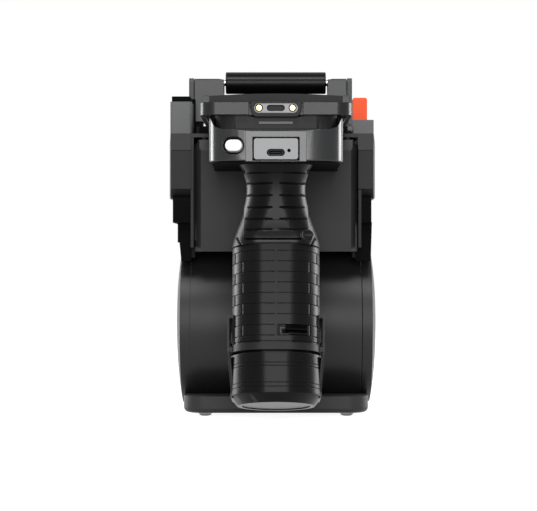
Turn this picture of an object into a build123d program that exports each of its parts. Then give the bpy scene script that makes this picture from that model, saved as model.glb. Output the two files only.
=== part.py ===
"""Handheld label printer with a pistol grip, a terminal cradle and an applicator roller.

Millimetres. The origin is the centre of the base plate's underside, right under the drum's axis.
+Z is up, +Y points away from the operator, +X is the operator's right.
"""
import os
from math import cos, radians, sin

from build123d import *

os.makedirs("parts", exist_ok=True)

# Fits between pieces
running_fit = 0.08        # radial gap of a shaft in its bore
seat_gap = 0.05           # gap of a fixed piece in its seat
moving_gap = 0.4          # gap round a piece that moves
rest_gap = 0.3            # gap under a piece that only lies on its seat

# Base
plinth_overhang = 4.0     # how far the plinth reaches past the drum's ends
plinth_length = 100.0
plinth_height = 10.0
plinth_corner = 12.0
plinth_edge = 3.0
bumper_radius = 4.0
bumper_height = 2.4
bumper_inset = 12.8       # from the plinth's sides to a bumper's centre
bumper_rounding = 1.9
screw_head_radius = 2.75
screw_head_height = 1.5
screw_shank_radius = 1.5
screw_length = 6.0

# Media drum
drum_radius = 49.0
drum_wall = 2.5
drum_half_width = 51.0
drum_slot_back = 8.0      # the slot that the labels leave through
drum_slot_front = 34.3
drum_slot_margin = 2.0
drum_lift = 2.6           # plinth thickness left under the drum
disc_rim = 6.0            # axial thickness at the rim of a side disc
disc_crown = 3.3          # how much further the middle of a side disc stands out
disc_hub_radius = 14.0
disc_wall = 2.5
disc_hollow_radius = 44.0
knob_recess_radius = 12.0
knob_recess_depth = 4.0
knob_radius = 10.0
knob_bar_height = 1.5
knob_bar_half_width = 2.0
knob_bar_reach = 8.5
hinge_pin_radius = 1.5
hinge_knuckle_radius = 3.2
door_hinge_outset = 3.5   # hinge axis beyond the drum's front
door_hinge_side = 2.2     # hinge axis beyond the drum's end
door_knuckle_length = 9.2
door_knuckle_inset = 1.0   # the door's hinge web inside the disc's rim
hinge_web_overlap = 3.4   # how deep the hinge webs reach into the drum or the door
hinge_half_length = 16.0
spindle_wall = 2.0
spindle_end_gap = 6.0
core_bore_radius = 12.7
core_wall = 1.5
core_overhang = 1.0
label_width = 62.0
roll_radius = 42.0
roll_stop_radius = 22.0
roll_stop_thickness = 2.0
roll_stop_gap = 1.5

# Printer body
body_rear = -53.0
body_front = 49.0
cover_gear_gap = 3.8      # between the gears and the left cover's wall
side_cover_top = 165.6
side_cover_bottom = 127.0
side_cover_wall = 2.2
cover_front_slope = 5.0
cover_front_drop = 8.0
deck_rail_x = 41.5        # inner edge of the covers' rails on the deck
crease_height = 155.2     # where the rear faces start to lean forwards
crease_depth = 5.5
undercut_height = 5.6
undercut_depth = 4.8
undercut_rise = 1.8       # where the undercut ends above the covers' bottom
cover_corner = 4.0
cover_flare = 4.2         # how much wider a cover is in front than at its rear edge
cover_flare_end = 5.0     # the place along Y where that ends
right_set_in = 4.6        # the right cover is this much nearer the middle than the left one
plate_bottom = 95.6
plate_top = 161.7
plate_half_width = 48.0
plate_corner = 3.8
plate_wall = 2.5
plate_lean = 3.5
plate_pocket_inset = 4.0
plate_pocket_margin = 1.0
deck_thickness = 3.5
deck_drop = 2.6           # the deck's top under the rear plate's
deck_front = 9.0
frame_sheet = 2.0
frame_left = -50.0        # outer face of the left side plate
frame_right = 47.0        # outer face of the right side plate
frame_front = 43.0
frame_bottom = 92.0
frame_tower_back = 12.2
frame_tower_top = 174.2
frame_inset = 5.0
frame_lug = 3.0           # round the front cover's hinge pin
frame_cross_rise = 6.0
cheek_depth_half = 42.0
cheek_set_in = 1.0        # the cheeks' sides inside the covers'
cheek_gap = 0.5
cheek_corner = 1.0
cheek_rear = -50.6
cheek_lip = 2.6           # height of the leaning edge at a cheek's top
cheek_lip_lean = 1.7
cheek_step_z = 112.7      # below here a cheek is narrower and less deep
cheek_step = 2.4
head_cover_thickness = 2.0
head_cover_lip = 1.5
chute_thickness = 3.0
chute_bottom = 150.3
chute_top = 196.0
chute_step = 10.3         # the left shoulder under the arm
cover_pin_radius = 1.2
cover_knuckle_radius = 2.6
cover_hinge_y = 47.5
cover_hinge_z = 97.0
cover_wall_back = 1.3     # the front cover's wall behind its hinge axis
cover_wall_front = 1.2

# Print unit
platen_y = 33.0
platen_z = 147.6
platen_radius = 8.0
platen_shaft_radius = 3.0
bush_radius = 5.0
bush_flange = 6.5
bush_flange_thickness = 1.0
gear_tip_radius = 13.0
pinion_tip_radius = 9.7
gear_teeth = 26
pinion_teeth = 19
tooth_depth = 1.6
tooth_sink = 0.4          # how deep a tooth's foot goes into the wheel
tooth_root_share = 0.27   # half a tooth's foot as a share of the pitch
tooth_tip_share = 0.14    # half a tooth's tip as a share of the pitch
gear_width = 5.0
gear_standoff = 1.0
mesh_gap = 0.3
mesh_angle = 20.0         # direction from the platen down to the motor
motor_radius = 14.0
motor_length = 30.0
motor_edge = 1.0
motor_shaft_radius = 2.5
motor_bore_depth = 6.0
head_width = 60.0
head_height = 4.7
head_depth = 16.0
head_edge = 1.5
bracket_thickness = 3.0
bracket_back = 13.0
bracket_overhang = 8.0
pivot_radius = 2.0
pivot_y = 16.0
pivot_z = 158.0
ear_radius = 3.4
ear_thickness = 2.5
cam_shaft_radius = 2.5
cam_y = 27.0
cam_z = 169.4
cam_reach = 3.9
cam_tip_radius = 1.5
cam_width = 16.0

# Head lever and its block, cover latch and its box
lever_left = 48.6
lever_width = 9.2
lever_thickness = 6.0
lever_top = 193.5
lever_hub_radius = 3.3
lever_edge = 1.5
block_top = 178.3
block_inner = 42.3
block_set_in = 0.4        # the block's side inside the right cover's
block_back = 11.0
block_front = 33.0
block_rear_wall = 7.0
latch_box_stand = 3.2     # how far the box stands out of the left cover
latch_box_inner = -51.9
latch_box_back = -8.0
latch_box_front = 17.0
latch_box_top = 188.0
latch_box_corner = 1.5
latch_inset = 1.0
latch_height = 2.2
latch_rib_count = 6
latch_rib_height = 0.9
latch_stem_width = 5.0
latch_stem_length = 6.0
latch_stem_depth = 5.0
latch_travel = 3.0

# Applicator
arm_back = 24.0
arm_front = 46.0
arm_top = 205.4
left_arm_inner = -33.2
left_arm_outer = -51.6
right_arm_inner = 32.9
right_arm_outer = 44.7
skin_thickness = 3.0
skin_gap = 0.5
skin_overhang = 1.0       # how far a skin stands over the arm's front and rear
skin_rise = 0.5
arm_corner = 3.0
roller_y = 37.0
roller_z = 203.9
roller_radius = 7.0
roller_end_gap = 1.0
roller_edge = 0.8
axle_radius = 2.0
axle_seat_depth = 4.0

# Circuit board
board_thickness = 1.6
board_standoff = 2.0
standoff_radius = 2.0
board_half_width = 36.0
board_bottom = 106.0
board_top = 150.0
standoff_inset = 6.0

# Cradle
cradle_rear = -153.0
cradle_width = 72.0
cradle_bottom = 143.4
cradle_top = 159.3
cradle_wall = 2.5
cradle_floor = 2.0
cradle_plate_thickness = 2.2
cradle_rib_spacing = 50.0
cradle_rib_width = 5.0
cradle_rib_length = 70.0
horn_top = 167.8
rim_shoulder = 160.8
rim_flat_half = 15.0
rim_shoulder_half = 28.6
horn_curve_inset = 2.0
horn_curve_rise = 3.2
cradle_edge = 1.0
port_panel_width = 24.0
port_panel_height = 11.7
port_panel_thickness = 2.0
port_panel_z = 149.85
port_panel_corner = 1.3
port_panel_shoulder = 1.0
port_width = 9.3
port_height = 3.6
port_depth = 7.0
port_wall = 0.35
port_back_wall = 1.0
port_set_back = 0.2
port_z = 147.9
tongue_width = 6.7
tongue_height = 0.7
tongue_set_back = 0.8
button_x = -22.5
button_z = 151.7
button_width = 8.8
button_height = 6.0
button_stand = 0.8
button_collar = 0.8
button_collar_gap = 0.2
button_flange = 1.5
button_edge = 0.4

# Terminal
terminal_rear = -152.5
terminal_length = 159.5
terminal_width = 81.0
terminal_corner = 8.0
belly_bottom = 160.9
belly_half_width = 33.4
belly_top_half_width = 38.2
belly_set_back = 3.0
belly_edge = 2.0
frame_band_bottom = 168.1
frame_band_height = 6.6
frame_band_edge = 1.0
bezel_width = 70.6
bezel_height = 3.4
bezel_set_back = 1.0
bezel_crown = 1.2
bezel_chin = 6.0
glass_width = 66.0
glass_length = 138.0
glass_thickness = 0.8
glass_corner = 3.0
corner_guard_width = 3.6
corner_guard_length = 12.0
corner_guard_height = 4.1
port_block_width = 28.8
port_block_bottom = 166.9
port_block_height = 7.6
port_block_stand = 0.6
port_block_edge = 1.0
port_block_sink = 0.1
port_window_depth = 1.0
port_window_rise = 1.1    # the window's middle above the block's
port_window_width = 23.3
port_window_height = 5.4
contact_radius = 1.65
contact_offset = 8.9
contact_length = 0.3
metal_back_wall = 0.6
scan_key_length = 16.0
scan_key_height = 3.0
scan_key_depth = 2.0
scan_key_stand = 0.6
scan_key_edge = 1.0
scan_key_travel = 0.4
scan_key_y = -118.0

# Grip
grip_y = -113.0
neck_top_width = 41.0
neck_top_depth = 44.0
neck_collar_bottom = 138.2
neck_waist_z = 121.6
neck_waist_width = 33.0
neck_waist_depth = 39.0
neck_flare_z = 106.5
neck_flare_width = 43.3
neck_flare_depth = 43.0
knee_y = -114.4
knee_z = 95.1
grip_width = 47.7
grip_depth = 47.0
grip_corner = 17.0
grip_wall = 3.0
grip_rake = 11.5          # degrees that the battery axis leans towards the operator
sleeve_length = 53.8
collar_length = 3.8
collar_lip = 0.9
well_width = 39.6
well_depth = 41.0
well_corner = 14.0
battery_clearance = 0.3
battery_head = 6.0        # space for the contacts above the battery
cap_gap = 1.6
cap_length = 21.4
cap_chamfer = 4.8
cap_width = 49.0
cap_depth = 50.0
cap_corner = 20.0
cap_end_radius = 21.0
cap_end_disc = 18.6
cap_end_recess = 0.5
release_start = 38.6
release_length = 13.4
release_width = 16.0
release_depth = 3.4
release_stand = 1.6
release_edge = 1.0
pad_thickness = 1.2
pad_half_width = 17.5
pad_bottom = 102.8
pad_top = 137.8
screw_ring = 1.0          # rubber kept clear round the screw
grip_screw_x = 17.3
grip_screw_z = 104.4
grip_screw_y = -129.0      # face of the screw's head
lanyard_x = 11.1
lanyard_surface = 22.6
lanyard_turn = -20.0
lanyard_start = 44.0
lanyard_width = 12.0
lanyard_height = 4.6
lanyard_recess = 2.2
lanyard_bar_radius = 0.8

# Trigger
trigger_width = 16.0
trigger_pivot_y = -97.5
trigger_pivot_z = 131.0
trigger_hub_radius = 4.0
trigger_tip_y = -84.0
trigger_tip_z = 103.0
trigger_back_y = -93.0
trigger_slot_back = -108.0
trigger_slot_drop = 5.0   # the slot's lower end under the pad's
trigger_curve = 1.5       # how far the blade's front face curves inwards
trigger_tip_rise = 1.0
trigger_pin_radius = 1.5
trigger_pin_length = 31.0

# Places that follow from the sizes above
drum_axis_z = drum_lift + drum_radius
plinth_width = 2 * (drum_half_width + plinth_overhang)
gear_left = frame_left - gear_standoff - gear_width
body_width_half = side_cover_wall + cover_gear_gap - gear_left
right_half_width = body_width_half - right_set_in
block_outer = right_half_width + cover_flare - block_set_in
latch_box_outer = -body_width_half - latch_box_stand
drum_inner_radius = drum_radius - drum_wall
disc_radius = drum_radius - 1.5 * moving_gap
drum_axis = Axis((0, 0, drum_axis_z), (1, 0, 0))
deck_top = plate_top - deck_drop
deck_bottom = deck_top - deck_thickness
spindle_radius = core_bore_radius - running_fit
cover_inner_left = frame_left
cover_inner_right = plate_half_width + moving_gap
door_hinge_y = drum_radius + door_hinge_outset
door_hinge_x = drum_half_width + door_hinge_side
motor_distance = gear_tip_radius + pinion_tip_radius + mesh_gap
motor_y = platen_y - motor_distance * cos(radians(mesh_angle))
motor_z = platen_z - motor_distance * sin(radians(mesh_angle))
head_bottom = platen_z + platen_radius + rest_gap
bracket_bottom = head_bottom + head_height
bracket_top = bracket_bottom + bracket_thickness
terminal_front = terminal_rear + terminal_length
band_top = frame_band_bottom + frame_band_height
bezel_top = band_top + bezel_height
rake = radians(grip_rake)
grip_plane = Plane(origin=(0, knee_y, knee_z), x_dir=(1, 0, 0), z_dir=(0, -sin(rake), -cos(rake)))
cap_start = sleeve_length + collar_length + cap_gap


def box_between(low, high, mode=Mode.ADD):
    """A box given by its lowest and its highest corner."""
    low = Vector(*low)
    high = Vector(*high)
    size = high - low
    with Locations((low + high) / 2):
        Box(size.X, size.Y, size.Z, mode=mode)


def rod_along_x(start, end, y, z, radius, mode=Mode.ADD):
    """A round rod parallel to X."""
    with Locations(Location(((start + end) / 2, y, z), (0, 90, 0))):
        Cylinder(radius, end - start, mode=mode)


def rod_along_y(start, end, x, z, radius, mode=Mode.ADD):
    """A round rod parallel to Y."""
    with Locations(Location((x, (start + end) / 2, z), (90, 0, 0))):
        Cylinder(radius, end - start, mode=mode)


def rod_along_z(start, end, x, y, radius, mode=Mode.ADD):
    """A round rod parallel to Z."""
    with Locations((x, y, (start + end) / 2)):
        Cylinder(radius, end - start, mode=mode)


def side_profile(points, left, right, mode=Mode.ADD):
    """A solid whose side view is the outline through (y, z) points, from X=left to X=right."""
    with BuildSketch(Plane.YZ.offset(left)) as outline:
        with BuildLine():
            Polyline(*points, close=True)
        make_face()
    extrude(outline.sketch, amount=right - left, mode=mode)


def rear_profile(points, rear, front, mode=Mode.ADD):
    """A solid whose rear view is the outline through (x, z) points, from Y=rear to Y=front."""
    with BuildSketch(Plane.XZ.offset(-front)) as outline:
        with BuildLine():
            Polyline(*points, close=True)
        make_face()
    extrude(outline.sketch, amount=front - rear, mode=mode)


def grip_section(width, depth, corner, distance):
    """The grip's rounded outline at a distance down the battery axis."""
    with BuildSketch(grip_plane.offset(distance)) as section:
        RectangleRounded(width, depth, corner)
    return section.sketch


def grip_prism(width, depth, corner, start, end, mode=Mode.ADD):
    """A straight length of the grip between two distances down the battery axis."""
    extrude(grip_section(width, depth, corner, start), amount=end - start, mode=mode)


def level_section(width, depth, corner, height):
    """The neck's rounded outline at a height."""
    with BuildSketch(Plane.XY.offset(height)) as section:
        with Locations((0, grip_y)):
            RectangleRounded(width, depth, corner)
    return section.sketch


def neck_solid(growth, mode=Mode.ADD):
    """The waisted neck from the cradle down to the battery sleeve, grown all round."""
    corner = grip_corner - grip_wall + growth
    both = 2 * growth
    loft(
        [
            level_section(neck_top_width + both, neck_top_depth + both, corner, cradle_bottom),
            level_section(neck_waist_width + both, neck_waist_depth + both, corner, neck_waist_z),
            level_section(neck_flare_width + both, neck_flare_depth + both, corner, neck_flare_z),
            grip_section(grip_width + both, grip_depth + both, corner, 0),
        ],
        mode=mode,
    )


# Base: a plate with a trough that the drum lies in, on four clear bumpers
with BuildPart() as base_plinth:
    with BuildSketch():
        RectangleRounded(plinth_width, plinth_length, plinth_corner)
    extrude(amount=plinth_height)
    fillet(base_plinth.faces().sort_by(Axis.Z)[0].edges(), plinth_edge)
    rod_along_x(-plinth_width, plinth_width, 0, drum_axis_z, drum_radius + seat_gap, mode=Mode.SUBTRACT)
    bumper_x = plinth_width / 2 - bumper_inset
    bumper_y = plinth_length / 2 - bumper_inset
    with Locations(Plane.XY.rotated((180, 0, 0))):
        with GridLocations(bumper_x, 2 * bumper_y, 2, 2):
            CounterBoreHole(screw_shank_radius, screw_head_radius, screw_head_height, screw_length)
base_plinth.part.label = "base_plinth"
export_step(base_plinth.part, "parts/base_plinth.step")

with BuildPart() as bumper_feet:
    with Locations((0, 0, -bumper_height / 2)):
        with GridLocations(2 * bumper_x, 2 * bumper_y, 2, 2):
            Cylinder(bumper_radius, bumper_height)
    fillet(bumper_feet.edges().group_by(Axis.Z)[0], bumper_rounding)
bumper_feet.part.label = "bumper_feet"
export_step(bumper_feet.part, "parts/bumper_feet.step")

with BuildPart() as case_screws:
    with GridLocations(bumper_x, 2 * bumper_y, 2, 2):
        Cylinder(screw_shank_radius, screw_length, align=(Align.CENTER, Align.CENTER, Align.MIN))
        Cylinder(screw_head_radius, screw_head_height, align=(Align.CENTER, Align.CENTER, Align.MIN))
    rod_along_y(
        grip_screw_y, grip_screw_y + screw_length, grip_screw_x, grip_screw_z, screw_head_radius - seat_gap
    )
case_screws.part.label = "case_screws"
export_step(case_screws.part, "parts/case_screws.step")

# Media drum: a tube with a slot for the labels, closed by a disc on the left and a door on the right
with BuildPart() as drum_shell:
    rod_along_x(-drum_half_width, drum_half_width, 0, drum_axis_z, drum_radius)
    for direction in (-1, 1):
        knuckle_low = drum_axis_z + direction * (door_knuckle_length / 2 + moving_gap)
        knuckle_high = drum_axis_z + direction * hinge_half_length
        knuckle_ends = sorted((knuckle_low, knuckle_high))
        rod_along_z(*knuckle_ends, door_hinge_x, door_hinge_y, hinge_knuckle_radius)
        box_between(
            (drum_half_width - hinge_knuckle_radius, drum_radius - hinge_web_overlap, knuckle_ends[0]),
            (drum_half_width, door_hinge_y + hinge_knuckle_radius, knuckle_ends[1]),
        )
    rod_along_x(-drum_half_width, drum_half_width, 0, drum_axis_z, drum_inner_radius, mode=Mode.SUBTRACT)
    box_between(
        (-label_width / 2 - drum_slot_margin, drum_slot_back, drum_axis_z),
        (label_width / 2 + drum_slot_margin, drum_slot_front, drum_axis_z + 2 * drum_radius),
        mode=Mode.SUBTRACT,
    )
    rod_along_z(
        drum_axis_z - hinge_half_length,
        drum_axis_z + hinge_half_length,
        door_hinge_x,
        door_hinge_y,
        hinge_pin_radius + running_fit,
        mode=Mode.SUBTRACT,
    )
drum_shell.part.label = "drum_shell"
export_step(drum_shell.part, "parts/drum_shell.step")


def side_disc(inner_face, radius, hub_solid):
    """The lens-shaped disc that closes one end of the drum, hollow behind its face."""
    rim_face = inner_face + disc_rim
    crown_face = rim_face + disc_crown
    with BuildSketch(Plane.XY.offset(drum_axis_z)) as profile:
        with BuildLine():
            middle = ((rim_face + crown_face) / 2 + disc_crown / 4, (radius + disc_hub_radius) / 2)
            Line((inner_face, 0), (inner_face, radius))
            Line((inner_face, radius), (rim_face, radius))
            ThreePointArc((rim_face, radius), middle, (crown_face, disc_hub_radius))
            Line((crown_face, disc_hub_radius), (crown_face, 0))
            Line((crown_face, 0), (inner_face, 0))
        make_face()
    revolve(profile.sketch, drum_axis)
    hollow_floor = inner_face + disc_rim - disc_wall
    rod_along_x(inner_face, hollow_floor, 0, drum_axis_z, disc_hollow_radius, mode=Mode.SUBTRACT)
    if hub_solid:
        rod_along_x(inner_face, hollow_floor, 0, drum_axis_z, core_bore_radius + core_wall)


with BuildPart(Plane.XY) as left_drum_disc:
    side_disc(drum_half_width, drum_radius, hub_solid=True)
    mirror(about=Plane.YZ, mode=Mode.REPLACE)
left_drum_disc.part.label = "left_drum_disc"
export_step(left_drum_disc.part, "parts/left_drum_disc.step")

door_inner = drum_half_width + rest_gap
door_outer = door_inner + disc_rim + disc_crown
with BuildPart() as media_door:
    side_disc(door_inner, disc_radius, hub_solid=False)
    rod_along_x(
        door_outer - knob_recess_depth, door_outer, 0, drum_axis_z, knob_recess_radius, mode=Mode.SUBTRACT
    )
    knuckle_half = door_knuckle_length / 2
    box_between(
        (door_inner + door_knuckle_inset, disc_radius - hinge_web_overlap, drum_axis_z - knuckle_half),
        (door_inner + disc_rim - door_knuckle_inset, door_hinge_y, drum_axis_z + knuckle_half),
    )
    rod_along_z(
        drum_axis_z - knuckle_half,
        drum_axis_z + knuckle_half,
        door_hinge_x,
        door_hinge_y,
        hinge_knuckle_radius,
    )
    rod_along_z(
        drum_axis_z - knuckle_half,
        drum_axis_z + knuckle_half,
        door_hinge_x,
        door_hinge_y,
        hinge_pin_radius + running_fit,
        mode=Mode.SUBTRACT,
    )
media_door.part.label = "media_door"
export_step(media_door.part, "parts/media_door.step")

with BuildPart() as media_door_knob:
    knob_face = door_outer - knob_bar_height
    rod_along_x(door_outer - knob_recess_depth + seat_gap, knob_face, 0, drum_axis_z, knob_radius)
    box_between(
        (knob_face, -knob_bar_reach, drum_axis_z - knob_bar_half_width),
        (door_outer, knob_bar_reach, drum_axis_z + knob_bar_half_width),
    )
media_door_knob.part.label = "media_door_knob"
export_step(media_door_knob.part, "parts/media_door_knob.step")

# Label roll on its cardboard core, turning on a fixed hollow spindle with two stops
stop_inner = label_width / 2 + roll_stop_gap
spindle_right = drum_half_width - spindle_end_gap
with BuildPart() as roll_spindle:
    rod_along_x(-drum_half_width, spindle_right, 0, drum_axis_z, spindle_radius)
    rod_along_x(-stop_inner - roll_stop_thickness, -stop_inner, 0, drum_axis_z, roll_stop_radius)
    rod_along_x(stop_inner, stop_inner + roll_stop_thickness, 0, drum_axis_z, roll_stop_radius)
    spindle_bore = spindle_radius - spindle_wall
    rod_along_x(-drum_half_width, spindle_right, 0, drum_axis_z, spindle_bore, mode=Mode.SUBTRACT)
roll_spindle.part.label = "roll_spindle"
export_step(roll_spindle.part, "parts/roll_spindle.step")

with BuildPart() as roll_core:
    core_half = label_width / 2 + core_overhang
    rod_along_x(-core_half, core_half, 0, drum_axis_z, core_bore_radius + core_wall)
    rod_along_x(-core_half, core_half, 0, drum_axis_z, core_bore_radius, mode=Mode.SUBTRACT)
roll_core.part.label = "roll_core"
export_step(roll_core.part, "parts/roll_core.step")

with BuildPart() as label_roll:
    rod_along_x(-label_width / 2, label_width / 2, 0, drum_axis_z, roll_radius)
    rod_along_x(
        -label_width / 2, label_width / 2, 0, drum_axis_z, core_bore_radius + core_wall, mode=Mode.SUBTRACT
    )
label_roll.part.label = "label_roll"
export_step(label_roll.part, "parts/label_roll.step")

# Printer frame: two steel side plates, a rear cross plate and a front bar
frame_rear = body_rear + frame_inset
plate_outline = [
    (frame_rear, frame_bottom),
    (cover_hinge_y + frame_lug, frame_bottom),
    (cover_hinge_y + frame_lug, cover_hinge_z + frame_lug),
    (frame_front, cover_hinge_z + frame_lug),
    (frame_front, frame_tower_top),
    (frame_tower_back, frame_tower_top),
    (frame_tower_back, deck_bottom),
    (frame_rear, deck_bottom),
]
with BuildPart() as printer_frame:
    side_profile(plate_outline, frame_left, frame_left + frame_sheet)
    side_profile(plate_outline, frame_right - frame_sheet, frame_right)
    box_between(
        (frame_left, frame_rear, plate_bottom + frame_cross_rise),
        (frame_right, frame_rear + frame_sheet, deck_bottom),
    )
    box_between(
        (frame_left, frame_front - 3 * frame_sheet, frame_bottom),
        (frame_right, frame_front - frame_sheet, frame_bottom + 2 * frame_sheet),
    )
    rod_along_x(
        2 * frame_left, 2 * frame_right, 0, drum_axis_z, drum_radius + seat_gap, mode=Mode.SUBTRACT
    )
    rod_along_x(2 * frame_left, 2 * frame_right, platen_y, platen_z, bush_radius, mode=Mode.SUBTRACT)
    rod_along_x(
        2 * frame_left, 2 * frame_right, pivot_y, pivot_z, pivot_radius + seat_gap, mode=Mode.SUBTRACT
    )
    rod_along_x(
        2 * frame_left, 2 * frame_right, cam_y, cam_z, cam_shaft_radius + running_fit, mode=Mode.SUBTRACT
    )
    rod_along_x(
        2 * frame_left,
        frame_left + frame_sheet,
        motor_y,
        motor_z,
        motor_shaft_radius + running_fit,
        mode=Mode.SUBTRACT,
    )
    rod_along_x(
        2 * frame_left,
        2 * frame_right,
        cover_hinge_y,
        cover_hinge_z,
        cover_pin_radius + seat_gap,
        mode=Mode.SUBTRACT,
    )
printer_frame.part.label = "printer_frame"
export_step(printer_frame.part, "parts/printer_frame.step")

# Platen roller in two flanged bushes, driven by the motor's pinion
with BuildPart() as platen_bushes:
    for plate_face, inward in ((frame_left, 1), (frame_right, -1)):
        inner_face = plate_face + inward * frame_sheet
        flange_face = inner_face + inward * bush_flange_thickness
        rod_along_x(*sorted((plate_face, flange_face)), platen_y, platen_z, bush_radius)
        rod_along_x(*sorted((inner_face, flange_face)), platen_y, platen_z, bush_flange)
        rod_along_x(
            *sorted((plate_face, flange_face)),
            platen_y,
            platen_z,
            platen_shaft_radius + running_fit,
            mode=Mode.SUBTRACT,
        )
platen_bushes.part.label = "platen_bushes"
export_step(platen_bushes.part, "parts/platen_bushes.step")

with BuildPart() as platen_shaft:
    rod_along_x(gear_left, frame_right, platen_y, platen_z, platen_shaft_radius)
platen_shaft.part.label = "platen_shaft"
export_step(platen_shaft.part, "parts/platen_shaft.step")

with BuildPart() as platen_rubber:
    rod_along_x(-label_width / 2, label_width / 2, platen_y, platen_z, platen_radius)
    rod_along_x(
        -label_width / 2, label_width / 2, platen_y, platen_z, platen_shaft_radius, mode=Mode.SUBTRACT
    )
platen_rubber.part.label = "platen_rubber"
export_step(platen_rubber.part, "parts/platen_rubber.step")


def toothed_wheel(y, z, tip_radius, teeth, left, width, turn):
    """A spur wheel with straight-sided teeth, its axis along X."""
    root_radius = tip_radius - tooth_depth
    pitch = 360 / teeth
    with BuildSketch(Plane(origin=(left, y, z), x_dir=(0, 1, 0), z_dir=(1, 0, 0))) as wheel:
        Circle(root_radius)
        with PolarLocations(0, teeth, start_angle=turn):
            with BuildLine():
                half_root = radians(pitch * tooth_root_share)
                half_tip = radians(pitch * tooth_tip_share)
                root = root_radius - tooth_sink
                Polyline(
                    (root * cos(half_root), -root * sin(half_root)),
                    (tip_radius * cos(half_tip), -tip_radius * sin(half_tip)),
                    (tip_radius * cos(half_tip), tip_radius * sin(half_tip)),
                    (root * cos(half_root), root * sin(half_root)),
                    close=True,
                )
            make_face()
    extrude(wheel.sketch, amount=width)


with BuildPart() as platen_gear:
    toothed_wheel(platen_y, platen_z, gear_tip_radius, gear_teeth, gear_left, gear_width, 0)
    gear_right = gear_left + gear_width
    rod_along_x(gear_left, gear_right, platen_y, platen_z, platen_shaft_radius, mode=Mode.SUBTRACT)
platen_gear.part.label = "platen_gear"
export_step(platen_gear.part, "parts/platen_gear.step")

motor_face = frame_left + frame_sheet + seat_gap
with BuildPart() as motor:
    rod_along_x(motor_face, motor_face + motor_length, motor_y, motor_z, motor_radius)
    chamfer(motor.edges().group_by(Axis.X)[-1], motor_edge)
    rod_along_x(
        motor_face,
        motor_face + motor_bore_depth,
        motor_y,
        motor_z,
        motor_shaft_radius + running_fit,
        mode=Mode.SUBTRACT,
    )
motor.part.label = "motor"
export_step(motor.part, "parts/motor.step")

with BuildPart() as motor_pinion:
    toothed_wheel(motor_y, motor_z, pinion_tip_radius, pinion_teeth, gear_left, gear_width, 0)
    rod_along_x(
        gear_left, motor_face + motor_bore_depth - moving_gap, motor_y, motor_z, motor_shaft_radius
    )
motor_pinion.part.label = "motor_pinion"
export_step(motor_pinion.part, "parts/motor_pinion.step")

# Print head under a pivoting bracket that a finger on the cam shaft holds down
with BuildPart() as print_head:
    box_between(
        (-head_width / 2, platen_y - head_depth / 2, head_bottom),
        (head_width / 2, platen_y + head_depth / 2, bracket_bottom),
    )
    chamfer(print_head.edges().filter_by(Axis.X).group_by(Axis.Z)[0], head_edge)
print_head.part.label = "print_head"
export_step(print_head.part, "parts/print_head.step")

bracket_half = head_width / 2 + bracket_overhang
with BuildPart() as head_bracket:
    box_between(
        (-bracket_half, bracket_back, bracket_bottom),
        (bracket_half, platen_y + head_depth / 2, bracket_top),
    )
    for ear_face in (-bracket_half, bracket_half - ear_thickness):
        rod_along_x(ear_face, ear_face + ear_thickness, pivot_y, pivot_z, ear_radius)
        box_between(
            (ear_face, pivot_y - ear_radius, pivot_z),
            (ear_face + ear_thickness, pivot_y + ear_radius, bracket_bottom),
        )
        rod_along_x(
            ear_face,
            ear_face + ear_thickness,
            pivot_y,
            pivot_z,
            pivot_radius + running_fit,
            mode=Mode.SUBTRACT,
        )
head_bracket.part.label = "head_bracket"
export_step(head_bracket.part, "parts/head_bracket.step")

with BuildPart() as cam_shaft:
    rod_along_x(frame_left, lever_left + lever_width, cam_y, cam_z, cam_shaft_radius)
    box_between(
        (-cam_width / 2, cam_y - cam_tip_radius, cam_z - cam_reach),
        (cam_width / 2, cam_y + cam_tip_radius, cam_z),
    )
    rod_along_x(-cam_width / 2, cam_width / 2, cam_y, cam_z - cam_reach, cam_tip_radius)
cam_shaft.part.label = "cam_shaft"
export_step(cam_shaft.part, "parts/cam_shaft.step")

with BuildPart() as head_lever:
    rod_along_x(lever_left, lever_left + lever_width, cam_y, cam_z, lever_hub_radius)
    box_between(
        (lever_left, cam_y - lever_thickness / 2, cam_z),
        (lever_left + lever_width, cam_y + lever_thickness / 2, lever_top),
    )
    fillet(head_lever.edges().group_by(Axis.Z)[-1], lever_edge)
    rod_along_x(lever_left, lever_left + lever_width, cam_y, cam_z, cam_shaft_radius, mode=Mode.SUBTRACT)
head_lever.part.label = "head_lever"
export_step(head_lever.part, "parts/head_lever.step")

with BuildPart() as lever_block:
    box_between((cover_inner_right, block_back, side_cover_top), (block_outer, block_front, block_top))
    box_between(
        (block_inner, block_back, frame_tower_top + seat_gap), (block_outer, block_front, block_top)
    )
    box_between(
        (lever_left - moving_gap, block_back + block_rear_wall, side_cover_top),
        (lever_left + lever_width + moving_gap, block_front, block_top),
        mode=Mode.SUBTRACT,
    )
    rod_along_x(block_inner, lever_left, cam_y, cam_z, cam_shaft_radius + moving_gap, mode=Mode.SUBTRACT)
lever_block.part.label = "lever_block"
export_step(lever_block.part, "parts/lever_block.step")

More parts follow.
